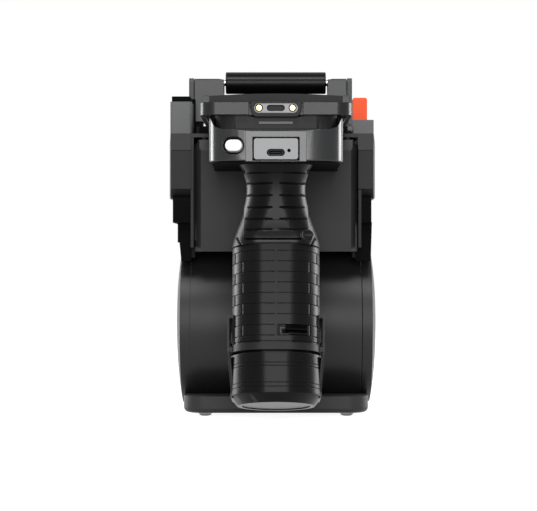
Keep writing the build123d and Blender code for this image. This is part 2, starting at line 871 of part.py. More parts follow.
# Side covers: shells with leaning rear edges and an undercut below
cover_outline = [
    (body_rear, side_cover_bottom + undercut_height),
    (body_rear, crease_height),
    (body_rear + crease_depth, side_cover_top),
    (body_front - cover_front_slope, side_cover_top),
    (body_front, side_cover_top - cover_front_drop),
    (body_front, side_cover_bottom),
    (body_rear + undercut_height, side_cover_bottom),
]
undercut_outline = [
    (body_rear - undercut_depth, side_cover_bottom + undercut_height),
    (body_rear, side_cover_bottom + undercut_height),
    (body_rear + undercut_depth, side_cover_bottom + undercut_rise),
    (body_rear + undercut_depth, side_cover_bottom - undercut_rise),
    (body_rear - undercut_depth, side_cover_bottom - undercut_rise),
]
wall = side_cover_wall
inner_cover_outline = [
    (body_rear + wall, side_cover_bottom + undercut_height),
    (body_rear + wall, crease_height),
    (body_rear + crease_depth + wall / 2, side_cover_top - wall),
    (body_front - cover_front_slope - wall / 2, side_cover_top - wall),
    (body_front - wall, side_cover_top - cover_front_drop),
    (body_front - wall, side_cover_bottom),
    (body_rear + undercut_depth + wall, side_cover_bottom),
    (body_rear + undercut_depth + wall, side_cover_bottom + undercut_rise),
]


def side_cover(left, right, outer_face, inner_left, inner_right):
    """One side cover between two X places, with rounded outer edges and a side that flares forwards."""
    side_profile(cover_outline, left, right)
    outer_edges = faces().sort_by(Axis.X)[-1 if outer_face > 0 else 0].edges()
    fillet(outer_edges, cover_corner)
    side_profile(undercut_outline, left, right, mode=Mode.SUBTRACT)
    outer = right if outer_face > 0 else left
    rear_x = outer - outer_face * cover_flare
    beyond = outer + outer_face * cover_flare
    with BuildSketch(Plane.XY.offset(side_cover_bottom - cover_flare)) as flare_plan:
        with BuildLine():
            Polyline(
                (rear_x, body_rear - cover_flare),
                (rear_x, body_rear),
                (outer, cover_flare_end),
                (beyond, cover_flare_end),
                (beyond, body_rear - cover_flare),
                close=True,
            )
        make_face()
    flare_height = side_cover_top - side_cover_bottom + 2 * cover_flare
    extrude(flare_plan.sketch, amount=flare_height, mode=Mode.SUBTRACT)
    side_profile(inner_cover_outline, inner_left, inner_right, mode=Mode.SUBTRACT)


with BuildPart() as left_side_cover:
    cover_outer_left = -body_width_half - cover_flare
    side_cover(cover_outer_left, cover_inner_left, -1, -body_width_half + wall, cover_inner_left)
    box_between(
        (cover_inner_left, body_rear + crease_depth, side_cover_top - wall),
        (-deck_rail_x, deck_front, side_cover_top),
    )
    box_between(
        (-deck_rail_x - wall, body_rear + crease_depth, deck_top),
        (-deck_rail_x, deck_front, side_cover_top),
    )
left_side_cover.part.label = "left_side_cover"
export_step(left_side_cover.part, "parts/left_side_cover.step")

with BuildPart() as right_side_cover:
    cover_outer_right = right_half_width + cover_flare
    side_cover(cover_inner_right, cover_outer_right, 1, cover_inner_right, right_half_width - wall)
    box_between(
        (deck_rail_x, body_rear + crease_depth, side_cover_top - wall),
        (cover_inner_right, deck_front, side_cover_top),
    )
    box_between(
        (deck_rail_x, body_rear + crease_depth, deck_top),
        (deck_rail_x + wall, deck_front, side_cover_top),
    )
right_side_cover.part.label = "right_side_cover"
export_step(right_side_cover.part, "parts/right_side_cover.step")

with BuildPart() as side_cheeks:
    cheek_bottom = drum_axis_z + drum_radius + cheek_gap
    cheek_top = side_cover_bottom + undercut_rise - rest_gap
    for inner, outer in (
        (frame_left, -body_width_half + cheek_set_in),
        (cover_inner_right, right_half_width - cheek_set_in),
    ):
        box_between(
            (min(inner, outer), -cheek_depth_half, cheek_step_z),
            (max(inner, outer), cheek_depth_half, side_cover_bottom),
        )
        side_profile(
            [
                (cheek_rear, cheek_step_z),
                (cheek_rear, cheek_top - cheek_lip),
                (cheek_rear + cheek_lip_lean, cheek_top),
                (body_rear + undercut_depth - rest_gap, cheek_top),
                (body_rear + undercut_depth - rest_gap, side_cover_bottom),
                (-cheek_depth_half, side_cover_bottom),
                (-cheek_depth_half, cheek_step_z),
            ],
            min(inner, outer),
            max(inner, outer),
        )
        narrow = outer - cheek_step if outer > 0 else outer + cheek_step
        box_between(
            (min(inner, narrow), -cheek_depth_half, cheek_bottom),
            (max(inner, narrow), cheek_depth_half, cheek_step_z),
        )
    fillet(side_cheeks.edges().filter_by(Axis.Z), cheek_corner)
side_cheeks.part.label = "side_cheeks"
export_step(side_cheeks.part, "parts/side_cheeks.step")

# Rear plate: a shallow tray round the foot of the cradle
with BuildPart() as rear_plate:
    side_profile(
        [
            (body_rear, plate_bottom),
            (body_rear, crease_height),
            (body_rear + plate_lean, plate_top),
            (frame_rear - rest_gap / 2, plate_top),
            (frame_rear - rest_gap / 2, plate_bottom),
        ],
        -plate_half_width,
        plate_half_width,
    )
    rear_corners = rear_plate.edges().filter_by(Axis.Z).group_by(Axis.Y)[0]
    chamfer(rear_corners, plate_corner)
    box_between(
        (-plate_half_width + plate_pocket_inset, body_rear + plate_wall, plate_bottom + plate_wall),
        (plate_half_width - plate_pocket_inset, frame_rear, crease_height - plate_pocket_margin),
        mode=Mode.SUBTRACT,
    )
    box_between(
        (-cradle_width / 2 - rest_gap, body_rear, cradle_bottom - rest_gap),
        (cradle_width / 2 + rest_gap, frame_rear, plate_top),
        mode=Mode.SUBTRACT,
    )
rear_plate.part.label = "rear_plate"
export_step(rear_plate.part, "parts/rear_plate.step")

with BuildPart() as top_deck:
    box_between((frame_left, frame_rear, deck_bottom), (plate_half_width, deck_front, deck_top))
top_deck.part.label = "top_deck"
export_step(top_deck.part, "parts/top_deck.step")

cover_x_low = frame_left + frame_sheet + moving_gap
cover_x_high = frame_right - frame_sheet - moving_gap
with BuildPart() as head_cover:
    box_between(
        (cover_x_low, deck_front + seat_gap, frame_tower_top - head_cover_thickness),
        (cover_x_high, frame_front - seat_gap, frame_tower_top),
    )
    box_between(
        (cover_x_low, deck_front + seat_gap, deck_bottom),
        (cover_x_high, deck_front + seat_gap + head_cover_lip, frame_tower_top),
    )
head_cover.part.label = "head_cover"
export_step(head_cover.part, "parts/head_cover.step")

# Label chute: the plate that ties the two arms and guides labels up to the roller
chute_outline = [
    (frame_left, chute_bottom),
    (frame_right, chute_bottom),
    (frame_right, block_top),
    (right_arm_inner - seat_gap, block_top),
    (right_arm_inner - seat_gap, chute_top),
    (left_arm_inner + seat_gap, chute_top),
    (left_arm_inner + seat_gap, block_top),
    (left_arm_inner - chute_step, block_top),
    (left_arm_inner - chute_step, frame_tower_top),
    (frame_left, frame_tower_top),
]
with BuildPart() as label_chute:
    rear_profile(chute_outline, frame_front, frame_front + chute_thickness)
label_chute.part.label = "label_chute"
export_step(label_chute.part, "parts/label_chute.step")

with BuildPart() as front_cover:
    box_between(
        (cover_x_low, cover_hinge_y - cover_wall_back, cover_hinge_z),
        (cover_x_high, cover_hinge_y + cover_wall_front, chute_bottom - rest_gap),
    )
    rod_along_x(cover_x_low, cover_x_high, cover_hinge_y, cover_hinge_z, cover_knuckle_radius)
    rod_along_x(
        cover_x_low,
        cover_x_high,
        cover_hinge_y,
        cover_hinge_z,
        cover_pin_radius + running_fit,
        mode=Mode.SUBTRACT,
    )
front_cover.part.label = "front_cover"
export_step(front_cover.part, "parts/front_cover.step")

# Latch box with its ribbed sliding latch
stem_x = (latch_box_outer + latch_box_inner) / 2
stem_y = (latch_box_back + latch_box_front) / 2 - latch_travel / 2
with BuildPart() as latch_box:
    box_between(
        (latch_box_outer, latch_box_back, side_cover_top), (latch_box_inner, latch_box_front, latch_box_top)
    )
    fillet(latch_box.edges().filter_by(Axis.Z), latch_box_corner)
    box_between(
        (
            stem_x - latch_stem_width / 2 - moving_gap,
            stem_y - latch_stem_length / 2 - moving_gap,
            latch_box_top - latch_stem_depth - moving_gap,
        ),
        (
            stem_x + latch_stem_width / 2 + moving_gap,
            stem_y + latch_stem_length / 2 + latch_travel + moving_gap,
            latch_box_top,
        ),
        mode=Mode.SUBTRACT,
    )
latch_box.part.label = "latch_box"
export_step(latch_box.part, "parts/latch_box.step")

with BuildPart() as cover_latch:
    latch_low = latch_box_top + rest_gap
    latch_back = latch_box_back + 2 * latch_inset
    latch_front = latch_box_front - latch_travel - latch_inset
    latch_left = latch_box_outer + latch_inset
    latch_right = latch_box_inner - latch_inset
    box_between((latch_left, latch_back, latch_low), (latch_right, latch_front, latch_low + latch_height))
    rib_pitch = (latch_front - latch_back) / latch_rib_count
    for rib in range(latch_rib_count):
        rib_y = latch_back + rib_pitch * rib
        box_between(
            (latch_left, rib_y, latch_low + latch_height),
            (latch_right, rib_y + rib_pitch / 2, latch_low + latch_height + latch_rib_height),
        )
    box_between(
        (stem_x - latch_stem_width / 2, stem_y - latch_stem_length / 2, latch_box_top - latch_stem_depth),
        (stem_x + latch_stem_width / 2, stem_y + latch_stem_length / 2, latch_low),
    )
cover_latch.part.label = "cover_latch"
export_step(cover_latch.part, "parts/cover_latch.step")


# Applicator: two arms with outer skins, and the rubber roller on a fixed axle
def arm(inner, outer, corner_side):
    """One arm, its top inner corner rounded, with a blind seat for the axle."""
    box_between((min(inner, outer), arm_back, block_top), (max(inner, outer), arm_front, arm_top))
    top_edges = edges().filter_by(Axis.Y).group_by(Axis.Z)[-1]
    fillet(top_edges.sort_by(Axis.X)[corner_side], arm_corner)


with BuildPart() as left_arm:
    arm(left_arm_inner, left_arm_outer, -1)
    rod_along_x(
        left_arm_inner - axle_seat_depth,
        left_arm_inner,
        roller_y,
        roller_z,
        axle_radius + seat_gap,
        mode=Mode.SUBTRACT,
    )
left_arm.part.label = "left_arm"
export_step(left_arm.part, "parts/left_arm.step")

with BuildPart() as right_arm:
    arm(right_arm_inner, right_arm_outer, 0)
    rod_along_x(
        right_arm_inner,
        right_arm_inner + axle_seat_depth,
        roller_y,
        roller_z,
        axle_radius + seat_gap,
        mode=Mode.SUBTRACT,
    )
right_arm.part.label = "right_arm"
export_step(right_arm.part, "parts/right_arm.step")

with BuildPart() as arm_skins:
    for face, outward in ((left_arm_outer, -1), (right_arm_outer, 1)):
        inner = face + outward * skin_gap
        outer = inner + outward * skin_thickness
        box_between(
            (min(inner, outer), arm_back - skin_overhang, block_top),
            (max(inner, outer), arm_front + skin_overhang, arm_top + skin_rise),
        )
    fillet(arm_skins.edges().filter_by(Axis.X).group_by(Axis.Z)[-1], arm_corner)
arm_skins.part.label = "arm_skins"
export_step(arm_skins.part, "parts/arm_skins.step")

# Fixed axles: the applicator roller's, and the one that the print head's bracket swings on
with BuildPart() as fixed_axles:
    rod_along_x(
        left_arm_inner - axle_seat_depth, right_arm_inner + axle_seat_depth, roller_y, roller_z, axle_radius
    )
    rod_along_x(frame_left, frame_right, pivot_y, pivot_z, pivot_radius)
fixed_axles.part.label = "fixed_axles"
export_step(fixed_axles.part, "parts/fixed_axles.step")

with BuildPart() as applicator_roller:
    roller_left = left_arm_inner + roller_end_gap
    roller_right = right_arm_inner - roller_end_gap
    rod_along_x(roller_left, roller_right, roller_y, roller_z, roller_radius)
    fillet(applicator_roller.edges(), roller_edge)
    roller_bore = axle_radius + running_fit
    rod_along_x(roller_left, roller_right, roller_y, roller_z, roller_bore, mode=Mode.SUBTRACT)
applicator_roller.part.label = "applicator_roller"
export_step(applicator_roller.part, "parts/applicator_roller.step")

# Main circuit board on four standoffs
with BuildPart() as main_board:
    board_back = frame_rear + frame_sheet + board_standoff
    box_between(
        (-board_half_width, board_back, board_bottom),
        (board_half_width, board_back + board_thickness, board_top),
    )
    for x in (-board_half_width + standoff_inset, board_half_width - standoff_inset):
        for z in (board_bottom + standoff_inset, board_top - standoff_inset):
            rod_along_y(board_back - board_standoff, board_back, x, z, standoff_radius)
main_board.part.label = "main_board"
export_step(main_board.part, "parts/main_board.step")

# Cradle: a tray from the grip to the printer, with a saddle-shaped rear wall
half_cradle = cradle_width / 2
with BuildPart() as cradle_shell:
    with BuildSketch(Plane.XZ.offset(-(cradle_rear + cradle_wall))) as saddle:
        with BuildLine():
            Polyline(
                (-half_cradle, horn_top),
                (-half_cradle, cradle_bottom),
                (half_cradle, cradle_bottom),
                (half_cradle, horn_top),
            )
            ThreePointArc(
                (half_cradle, horn_top),
                (half_cradle - horn_curve_inset, rim_shoulder + horn_curve_rise),
                (rim_shoulder_half, rim_shoulder),
            )
            Polyline(
                (rim_shoulder_half, rim_shoulder),
                (rim_flat_half, cradle_top),
                (-rim_flat_half, cradle_top),
                (-rim_shoulder_half, rim_shoulder),
            )
            ThreePointArc(
                (-rim_shoulder_half, rim_shoulder),
                (-half_cradle + horn_curve_inset, rim_shoulder + horn_curve_rise),
                (-half_cradle, horn_top),
            )
        make_face()
    extrude(saddle.sketch, amount=cradle_wall)
    lower_rear_edge = cradle_shell.edges().filter_by(Axis.X).group_by(Axis.Z)[0].sort_by(Axis.Y)[0]
    chamfer(lower_rear_edge, cradle_edge)
    box_between(
        (-half_cradle, cradle_rear + cradle_wall, cradle_bottom), (half_cradle, frame_rear, cradle_top)
    )
    box_between(
        (-half_cradle + cradle_wall, cradle_rear + cradle_wall, cradle_bottom + cradle_floor),
        (half_cradle - cradle_wall, frame_rear, cradle_top),
        mode=Mode.SUBTRACT,
    )
    box_between(
        (
            -port_panel_width / 2 - seat_gap,
            cradle_rear,
            port_panel_z - port_panel_height / 2 - seat_gap,
        ),
        (
            port_panel_width / 2 + seat_gap,
            cradle_rear + port_panel_thickness,
            port_panel_z + port_panel_height / 2 + seat_gap,
        ),
        mode=Mode.SUBTRACT,
    )
    port_cut_half = port_width / 2 + port_panel_shoulder
    box_between(
        (-port_cut_half, cradle_rear, port_z - port_height / 2 - seat_gap),
        (port_cut_half, cradle_rear + cradle_wall, port_z + port_height / 2 + seat_gap),
        mode=Mode.SUBTRACT,
    )
    with BuildSketch(Plane.XZ.offset(-(cradle_rear + cradle_wall))) as button_hole:
        with Locations((button_x, button_z)):
            hole_corner = button_height / 2 + moving_gap - seat_gap
            RectangleRounded(button_width + 2 * moving_gap, button_height + 2 * moving_gap, hole_corner)
    extrude(button_hole.sketch, amount=cradle_wall, mode=Mode.SUBTRACT)
cradle_shell.part.label = "cradle_shell"
export_step(cradle_shell.part, "parts/cradle_shell.step")

with BuildPart() as cradle_plate:
    box_between(
        (
            -half_cradle + cradle_wall + seat_gap,
            cradle_rear + cradle_wall + seat_gap,
            cradle_top - cradle_plate_thickness,
        ),
        (half_cradle - cradle_wall - seat_gap, frame_rear - seat_gap, cradle_top),
    )
    with GridLocations(cradle_rib_spacing, 0, 2, 1):
        with Locations((0, (cradle_rear + frame_rear) / 2, cradle_top)):
            Box(
                cradle_rib_width,
                cradle_rib_length,
                belly_bottom - rest_gap - cradle_top,
                align=(Align.CENTER, Align.CENTER, Align.MIN),
            )
cradle_plate.part.label = "cradle_plate"
export_step(cradle_plate.part, "parts/cradle_plate.step")

with BuildPart() as usb_panel:
    with BuildSketch(Plane.XZ.offset(-(cradle_rear + port_panel_thickness))) as panel:
        with Locations((0, port_panel_z)):
            RectangleRounded(port_panel_width, port_panel_height, port_panel_corner)
        with Locations((0, port_z)):
            RectangleRounded(
                port_width + 2 * seat_gap, port_height + 2 * seat_gap, port_height / 2, mode=Mode.SUBTRACT
            )
    extrude(panel.sketch, amount=port_panel_thickness)
usb_panel.part.label = "usb_panel"
export_step(usb_panel.part, "parts/usb_panel.step")


def socket_shell(rear, x, z):
    """A flat charging socket: an oval metal shell closed at the back, with its tongue."""
    with BuildSketch(Plane.XZ.offset(-(rear + port_depth))) as outer:
        with Locations((x, z)):
            RectangleRounded(port_width, port_height, port_height / 2 - 0.01)
    extrude(outer.sketch, amount=port_depth)
    with BuildSketch(Plane.XZ.offset(-(rear + port_depth - port_back_wall))) as inner:
        with Locations((x, z)):
            RectangleRounded(
                port_width - 2 * port_wall, port_height - 2 * port_wall, port_height / 2 - port_wall - 0.01
            )
    extrude(inner.sketch, amount=port_depth - port_back_wall, mode=Mode.SUBTRACT)
    box_between(
        (x - tongue_width / 2, rear + tongue_set_back, z - tongue_height / 2),
        (x + tongue_width / 2, rear + port_depth, z + tongue_height / 2),
    )


with BuildPart() as charge_port:
    socket_shell(cradle_rear + port_set_back, 0, port_z)
charge_port.part.label = "charge_port"
export_step(charge_port.part, "parts/charge_port.step")

with BuildPart() as power_button:
    collar_rear = cradle_rear + cradle_wall + button_collar_gap
    with BuildSketch(Plane.XZ.offset(-collar_rear)) as cap:
        with Locations((button_x, button_z)):
            RectangleRounded(button_width, button_height, button_height / 2 - 0.01)
    extrude(cap.sketch, amount=collar_rear - cradle_rear + button_stand)
    fillet(power_button.edges().group_by(Axis.Y)[0], button_edge)
    with BuildSketch(Plane.XZ.offset(-(collar_rear + button_collar))) as collar:
        with Locations((button_x, button_z)):
            RectangleRounded(
                button_width + 2 * button_flange,
                button_height + 2 * button_flange,
                button_height / 2 + button_flange / 2,
            )
    extrude(collar.sketch, amount=button_collar)
power_button.part.label = "power_button"
export_step(power_button.part, "parts/power_button.step")

# Terminal: belly, frame band, bezel, glass, port block and two scan keys
half_terminal = terminal_width / 2
belly_rear = terminal_rear + belly_set_back
with BuildPart() as terminal_back:
    rear_profile(
        [
            (-belly_half_width, belly_bottom),
            (belly_half_width, belly_bottom),
            (belly_top_half_width, frame_band_bottom),
            (-belly_top_half_width, frame_band_bottom),
        ],
        belly_rear,
        terminal_front - belly_set_back,
    )
    fillet(terminal_back.edges().filter_by(Axis.Y).group_by(Axis.Z)[0], belly_edge)
    box_between(
        (-port_block_width / 2 - seat_gap, belly_rear, port_block_bottom - seat_gap),
        (port_block_width / 2 + seat_gap, belly_rear + port_block_sink, frame_band_bottom),
        mode=Mode.SUBTRACT,
    )
terminal_back.part.label = "terminal_back"
export_step(terminal_back.part, "parts/terminal_back.step")

terminal_middle = (terminal_rear + terminal_front) / 2
with BuildPart() as terminal_frame:
    with BuildSketch(Plane.XY.offset(frame_band_bottom)) as band:
        with Locations((0, terminal_middle)):
            RectangleRounded(terminal_width, terminal_length, terminal_corner)
    extrude(band.sketch, amount=frame_band_height)
    guard_spacing_x = bezel_width + corner_guard_width + 2 * seat_gap
    guard_spacing_y = terminal_length - corner_guard_length - terminal_corner / 2
    with Locations((0, terminal_middle, band_top)):
        with GridLocations(guard_spacing_x, guard_spacing_y, 2, 2):
            Box(
                corner_guard_width,
                corner_guard_length,
                corner_guard_height,
                align=(Align.CENTER, Align.CENTER, Align.MIN),
            )
    fillet(terminal_frame.faces().group_by(Axis.Z)[-1].edges(), frame_band_edge)
    box_between(
        (
            -port_block_width / 2 - seat_gap,
            terminal_rear,
            frame_band_bottom,
        ),
        (
            port_block_width / 2 + seat_gap,
            belly_rear + seat_gap,
            port_block_bottom + port_block_height + seat_gap,
        ),
        mode=Mode.SUBTRACT,
    )
    for side in (-1, 1):
        key_face = side * half_terminal
        key_floor = side * (half_terminal - scan_key_depth - scan_key_travel - moving_gap)
        box_between(
            (
                min(key_face, key_floor),
                scan_key_y - scan_key_length / 2 - moving_gap,
                frame_band_bottom + frame_band_height / 2 - scan_key_height / 2 - moving_gap,
            ),
            (
                max(key_face, key_floor),
                scan_key_y + scan_key_length / 2 + moving_gap,
                frame_band_bottom + frame_band_height / 2 + scan_key_height / 2 + moving_gap,
            ),
            mode=Mode.SUBTRACT,
        )
terminal_frame.part.label = "terminal_frame"
export_step(terminal_frame.part, "parts/terminal_frame.step")

with BuildPart() as terminal_bezel:
    bezel_half = bezel_width / 2
    bezel_rear = terminal_rear + bezel_set_back
    box_between(
        (-bezel_half, bezel_rear, band_top), (bezel_half, terminal_front - bezel_set_back, bezel_top)
    )
    with BuildSketch(Plane.XZ.offset(-(bezel_rear + bezel_chin))) as chin:
        with BuildLine():
            ThreePointArc((-bezel_half, bezel_top), (0, bezel_top + bezel_crown), (bezel_half, bezel_top))
            Line((bezel_half, bezel_top), (-bezel_half, bezel_top))
        make_face()
    extrude(chin.sketch, amount=bezel_chin)
    box_between(
        (
            -glass_width / 2 - seat_gap,
            terminal_middle - glass_length / 2 - seat_gap,
            bezel_top - glass_thickness,
        ),
        (glass_width / 2 + seat_gap, terminal_middle + glass_length / 2 + seat_gap, bezel_top),
        mode=Mode.SUBTRACT,
    )
terminal_bezel.part.label = "terminal_bezel"
export_step(terminal_bezel.part, "parts/terminal_bezel.step")

with BuildPart() as display_glass:
    box_between(
        (-glass_width / 2, terminal_middle - glass_length / 2, bezel_top - glass_thickness),
        (glass_width / 2, terminal_middle + glass_length / 2, bezel_top),
    )
    fillet(display_glass.edges().filter_by(Axis.Z), glass_corner)
display_glass.part.label = "display_glass"
export_step(display_glass.part, "parts/display_glass.step")

port_centre_z = port_block_bottom + port_block_height / 2 + port_window_rise
window_floor = terminal_rear - port_block_stand + port_window_depth
with BuildPart() as terminal_port:
    box_between(
        (-port_block_width / 2, terminal_rear - port_block_stand, port_block_bottom),
        (port_block_width / 2, belly_rear, port_block_bottom + port_block_height),
    )
    fillet(terminal_port.edges().filter_by(Axis.Y), port_block_edge)
    with BuildSketch(Plane.XZ.offset(-window_floor)) as window:
        with Locations((0, port_centre_z)):
            RectangleRounded(port_window_width, port_window_height, port_window_height / 2 - 0.01)
    extrude(window.sketch, amount=2 * port_window_depth, mode=Mode.SUBTRACT)
    with BuildSketch(Plane.XZ.offset(-(belly_rear - metal_back_wall))) as usb_hole:
        with Locations((0, port_centre_z)):
            RectangleRounded(port_width, port_height, port_height / 2 - 0.01)
    extrude(usb_hole.sketch, amount=belly_set_back, mode=Mode.SUBTRACT)
    box_between(
        (-tongue_width / 2, window_floor + port_set_back, port_centre_z - tongue_height / 2),
        (tongue_width / 2, belly_rear, port_centre_z + tongue_height / 2),
    )
    for x in (-contact_offset, contact_offset):
        rod_along_y(window_floor - contact_length, window_floor, x, port_centre_z, contact_radius)
terminal_port.part.label = "terminal_port"
export_step(terminal_port.part, "parts/terminal_port.step")


def scan_key(side):
    """One scan key in its pocket in the terminal's side."""
    outer = side * (half_terminal + scan_key_stand)
    inner = side * (half_terminal - scan_key_depth)
    middle_z = frame_band_bottom + frame_band_height / 2
    box_between(
        (min(outer, inner), scan_key_y - scan_key_length / 2, middle_z - scan_key_height / 2),
        (max(outer, inner), scan_key_y + scan_key_length / 2, middle_z + scan_key_height / 2),
    )
    fillet(edges().filter_by(Axis.X), scan_key_edge)


with BuildPart() as left_scan_key:
    scan_key(-1)
left_scan_key.part.label = "left_scan_key"
export_step(left_scan_key.part, "parts/left_scan_key.step")

with BuildPart() as right_scan_key:
    scan_key(1)
right_scan_key.part.label = "right_scan_key"
export_step(right_scan_key.part, "parts/right_scan_key.step")

# Neck of the grip: a waisted shell with a slot for the trigger in front
trigger_pin_half = trigger_pin_length / 2
with BuildPart() as neck_housing:
    neck_solid(0)
    neck_solid(-grip_wall, mode=Mode.SUBTRACT)
    box_between(
        (-trigger_width / 2 - moving_gap, trigger_slot_back, pad_bottom - trigger_slot_drop),
        (trigger_width / 2 + moving_gap, grip_y + neck_top_depth, neck_collar_bottom),
        mode=Mode.SUBTRACT,
    )
    rod_along_x(
        -trigger_pin_half,
        trigger_pin_half,
        trigger_pivot_y,
        trigger_pivot_z,
        trigger_pin_radius + seat_gap,
        mode=Mode.SUBTRACT,
    )
    rod_along_y(
        grip_y - grip_depth, grip_y, grip_screw_x, grip_screw_z, screw_head_radius, mode=Mode.SUBTRACT
    )
neck_housing.part.label = "neck_housing"
export_step(neck_housing.part, "parts/neck_housing.step")

# Rubber pad wrapped round the operator's side of the neck
with BuildPart() as rear_grip_pad:
    neck_solid(pad_thickness)
    neck_solid(seat_gap, mode=Mode.SUBTRACT)
    box_between(
        (-pad_half_width, grip_y - grip_depth, pad_bottom),
        (pad_half_width, grip_y - neck_waist_depth / 4, pad_top),
        mode=Mode.INTERSECT,
    )
    screw_opening = screw_head_radius + screw_ring
    rod_along_y(
        grip_y - grip_depth, grip_y, grip_screw_x, grip_screw_z, screw_opening, mode=Mode.SUBTRACT
    )
rear_grip_pad.part.label = "rear_grip_pad"
export_step(rear_grip_pad.part, "parts/rear_grip_pad.step")

# Trigger: a curved blade that swings on a pin in the front of the neck
with BuildPart() as trigger:
    with BuildSketch(Plane.YZ.offset(-trigger_width / 2)) as blade:
        with BuildLine():
            hub_front = (trigger_pivot_y + trigger_hub_radius, trigger_pivot_z)
            hub_back = (trigger_pivot_y - trigger_hub_radius, trigger_pivot_z)
            tip = (trigger_tip_y, trigger_tip_z)
            tip_back = (trigger_back_y, trigger_tip_z + trigger_tip_rise)
            ThreePointArc(
                hub_back, (trigger_pivot_y, trigger_pivot_z + trigger_hub_radius), hub_front
            )
            chord_middle = (Vector(*hub_front) + Vector(*tip)) / 2
            ThreePointArc(hub_front, chord_middle - Vector(trigger_curve, trigger_curve / 2), tip)
            Line(tip, tip_back)
            Line(tip_back, hub_back)
        make_face()
    extrude(blade.sketch, amount=trigger_width)
    rod_along_x(
        -trigger_width,
        trigger_width,
        trigger_pivot_y,
        trigger_pivot_z,
        trigger_pin_radius + running_fit,
        mode=Mode.SUBTRACT,
    )
trigger.part.label = "trigger"
export_step(trigger.part, "parts/trigger.step")

# Steel pins: the hinges of the media door, the front cover and the trigger, and the lanyard bar
with BuildPart() as steel_pins:
    rod_along_z(
        drum_axis_z - hinge_half_length,
        drum_axis_z + hinge_half_length,
        door_hinge_x,
        door_hinge_y,
        hinge_pin_radius,
    )
    rod_along_x(frame_left, frame_right, cover_hinge_y, cover_hinge_z, cover_pin_radius)
    rod_along_x(-trigger_pin_half, trigger_pin_half, trigger_pivot_y, trigger_pivot_z, trigger_pin_radius)
    with Locations(grip_plane.offset(lanyard_start + lanyard_height / 2)):
        with Locations(Location((lanyard_x, lanyard_surface, 0), (0, 0, lanyard_turn))):
            with Locations(Location((0, -1.5 * lanyard_bar_radius, 0), (0, 90, 0))):
                Cylinder(lanyard_bar_radius, lanyard_width - 2 * seat_gap)
steel_pins.part.label = "steel_pins"
export_step(steel_pins.part, "parts/steel_pins.step")

# Grip sleeve: the straight leaning tube that holds the battery
with BuildPart() as grip_sleeve:
    grip_prism(grip_width, grip_depth, grip_corner, seat_gap, sleeve_length)
    grip_prism(well_width, well_depth, well_corner, battery_head / 2, sleeve_length, mode=Mode.SUBTRACT)
    with Locations(grip_plane.offset(release_start + release_length / 2)):
        Box(
            2 * grip_width,
            release_width + 2 * moving_gap,
            release_length + 2 * moving_gap,
            mode=Mode.SUBTRACT,
        )
    with Locations(grip_plane.offset(lanyard_start + lanyard_height / 2)):
        with Locations(Location((lanyard_x, lanyard_surface, 0), (0, 0, lanyard_turn))):
            Box(lanyard_width, 2 * lanyard_recess, lanyard_height, mode=Mode.SUBTRACT)
grip_sleeve.part.label = "grip_sleeve"
export_step(grip_sleeve.part, "parts/grip_sleeve.step")

with BuildPart() as battery_collar:
    grip_prism(
        grip_width + collar_lip,
        grip_depth + collar_lip,
        grip_corner + collar_lip / 2,
        sleeve_length,
        sleeve_length + collar_length,
    )
    collar_end = sleeve_length + collar_length
    grip_prism(well_width, well_depth, well_corner, sleeve_length, collar_end, mode=Mode.SUBTRACT)
battery_collar.part.label = "battery_collar"
export_step(battery_collar.part, "parts/battery_collar.step")


def battery_release(side):
    """One squeeze button in the side of the sleeve."""
    middle = side * (grip_width / 2 + release_stand - release_depth / 2)
    with Locations(grip_plane.offset(release_start + release_length / 2)):
        with Locations((middle, 0, 0)):
            Box(release_depth, release_width, release_length)
    outer_face = faces().sort_by(Axis.X)[-1 if side > 0 else 0]
    fillet(outer_face.edges(), release_edge)


with BuildPart() as left_battery_release:
    battery_release(-1)
left_battery_release.part.label = "left_battery_release"
export_step(left_battery_release.part, "parts/left_battery_release.step")

with BuildPart() as right_battery_release:
    battery_release(1)
right_battery_release.part.label = "right_battery_release"
export_step(right_battery_release.part, "parts/right_battery_release.step")

# Battery: a pack inside the sleeve with the cap that shows below it
with BuildPart() as battery_pack:
    grip_prism(
        well_width - 2 * battery_clearance,
        well_depth - 2 * battery_clearance,
        well_corner - battery_clearance,
        battery_head,
        cap_start,
    )
battery_pack.part.label = "battery_pack"
export_step(battery_pack.part, "parts/battery_pack.step")

cap_end = cap_start + cap_length + cap_chamfer
with BuildPart() as battery_cap:
    grip_prism(cap_width, cap_depth, cap_corner, cap_start, cap_start + cap_length)
    loft(
        [
            grip_section(cap_width, cap_depth, cap_corner, cap_start + cap_length),
            grip_section(2 * cap_end_radius, 2 * cap_end_radius, cap_end_radius - 0.01, cap_end),
        ]
    )
    with BuildSketch(grip_plane.offset(cap_end - cap_end_recess)) as end_disc:
        Circle(cap_end_disc)
    extrude(end_disc.sketch, amount=2 * cap_end_recess, mode=Mode.SUBTRACT)
battery_cap.part.label = "battery_cap"
export_step(battery_cap.part, "parts/battery_cap.step")
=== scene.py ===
"""Looks of a handheld label printer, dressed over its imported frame.

Metres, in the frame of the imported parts: +Z up, +Y away from the operator, +X the operator's right.
"""
from math import pi, radians

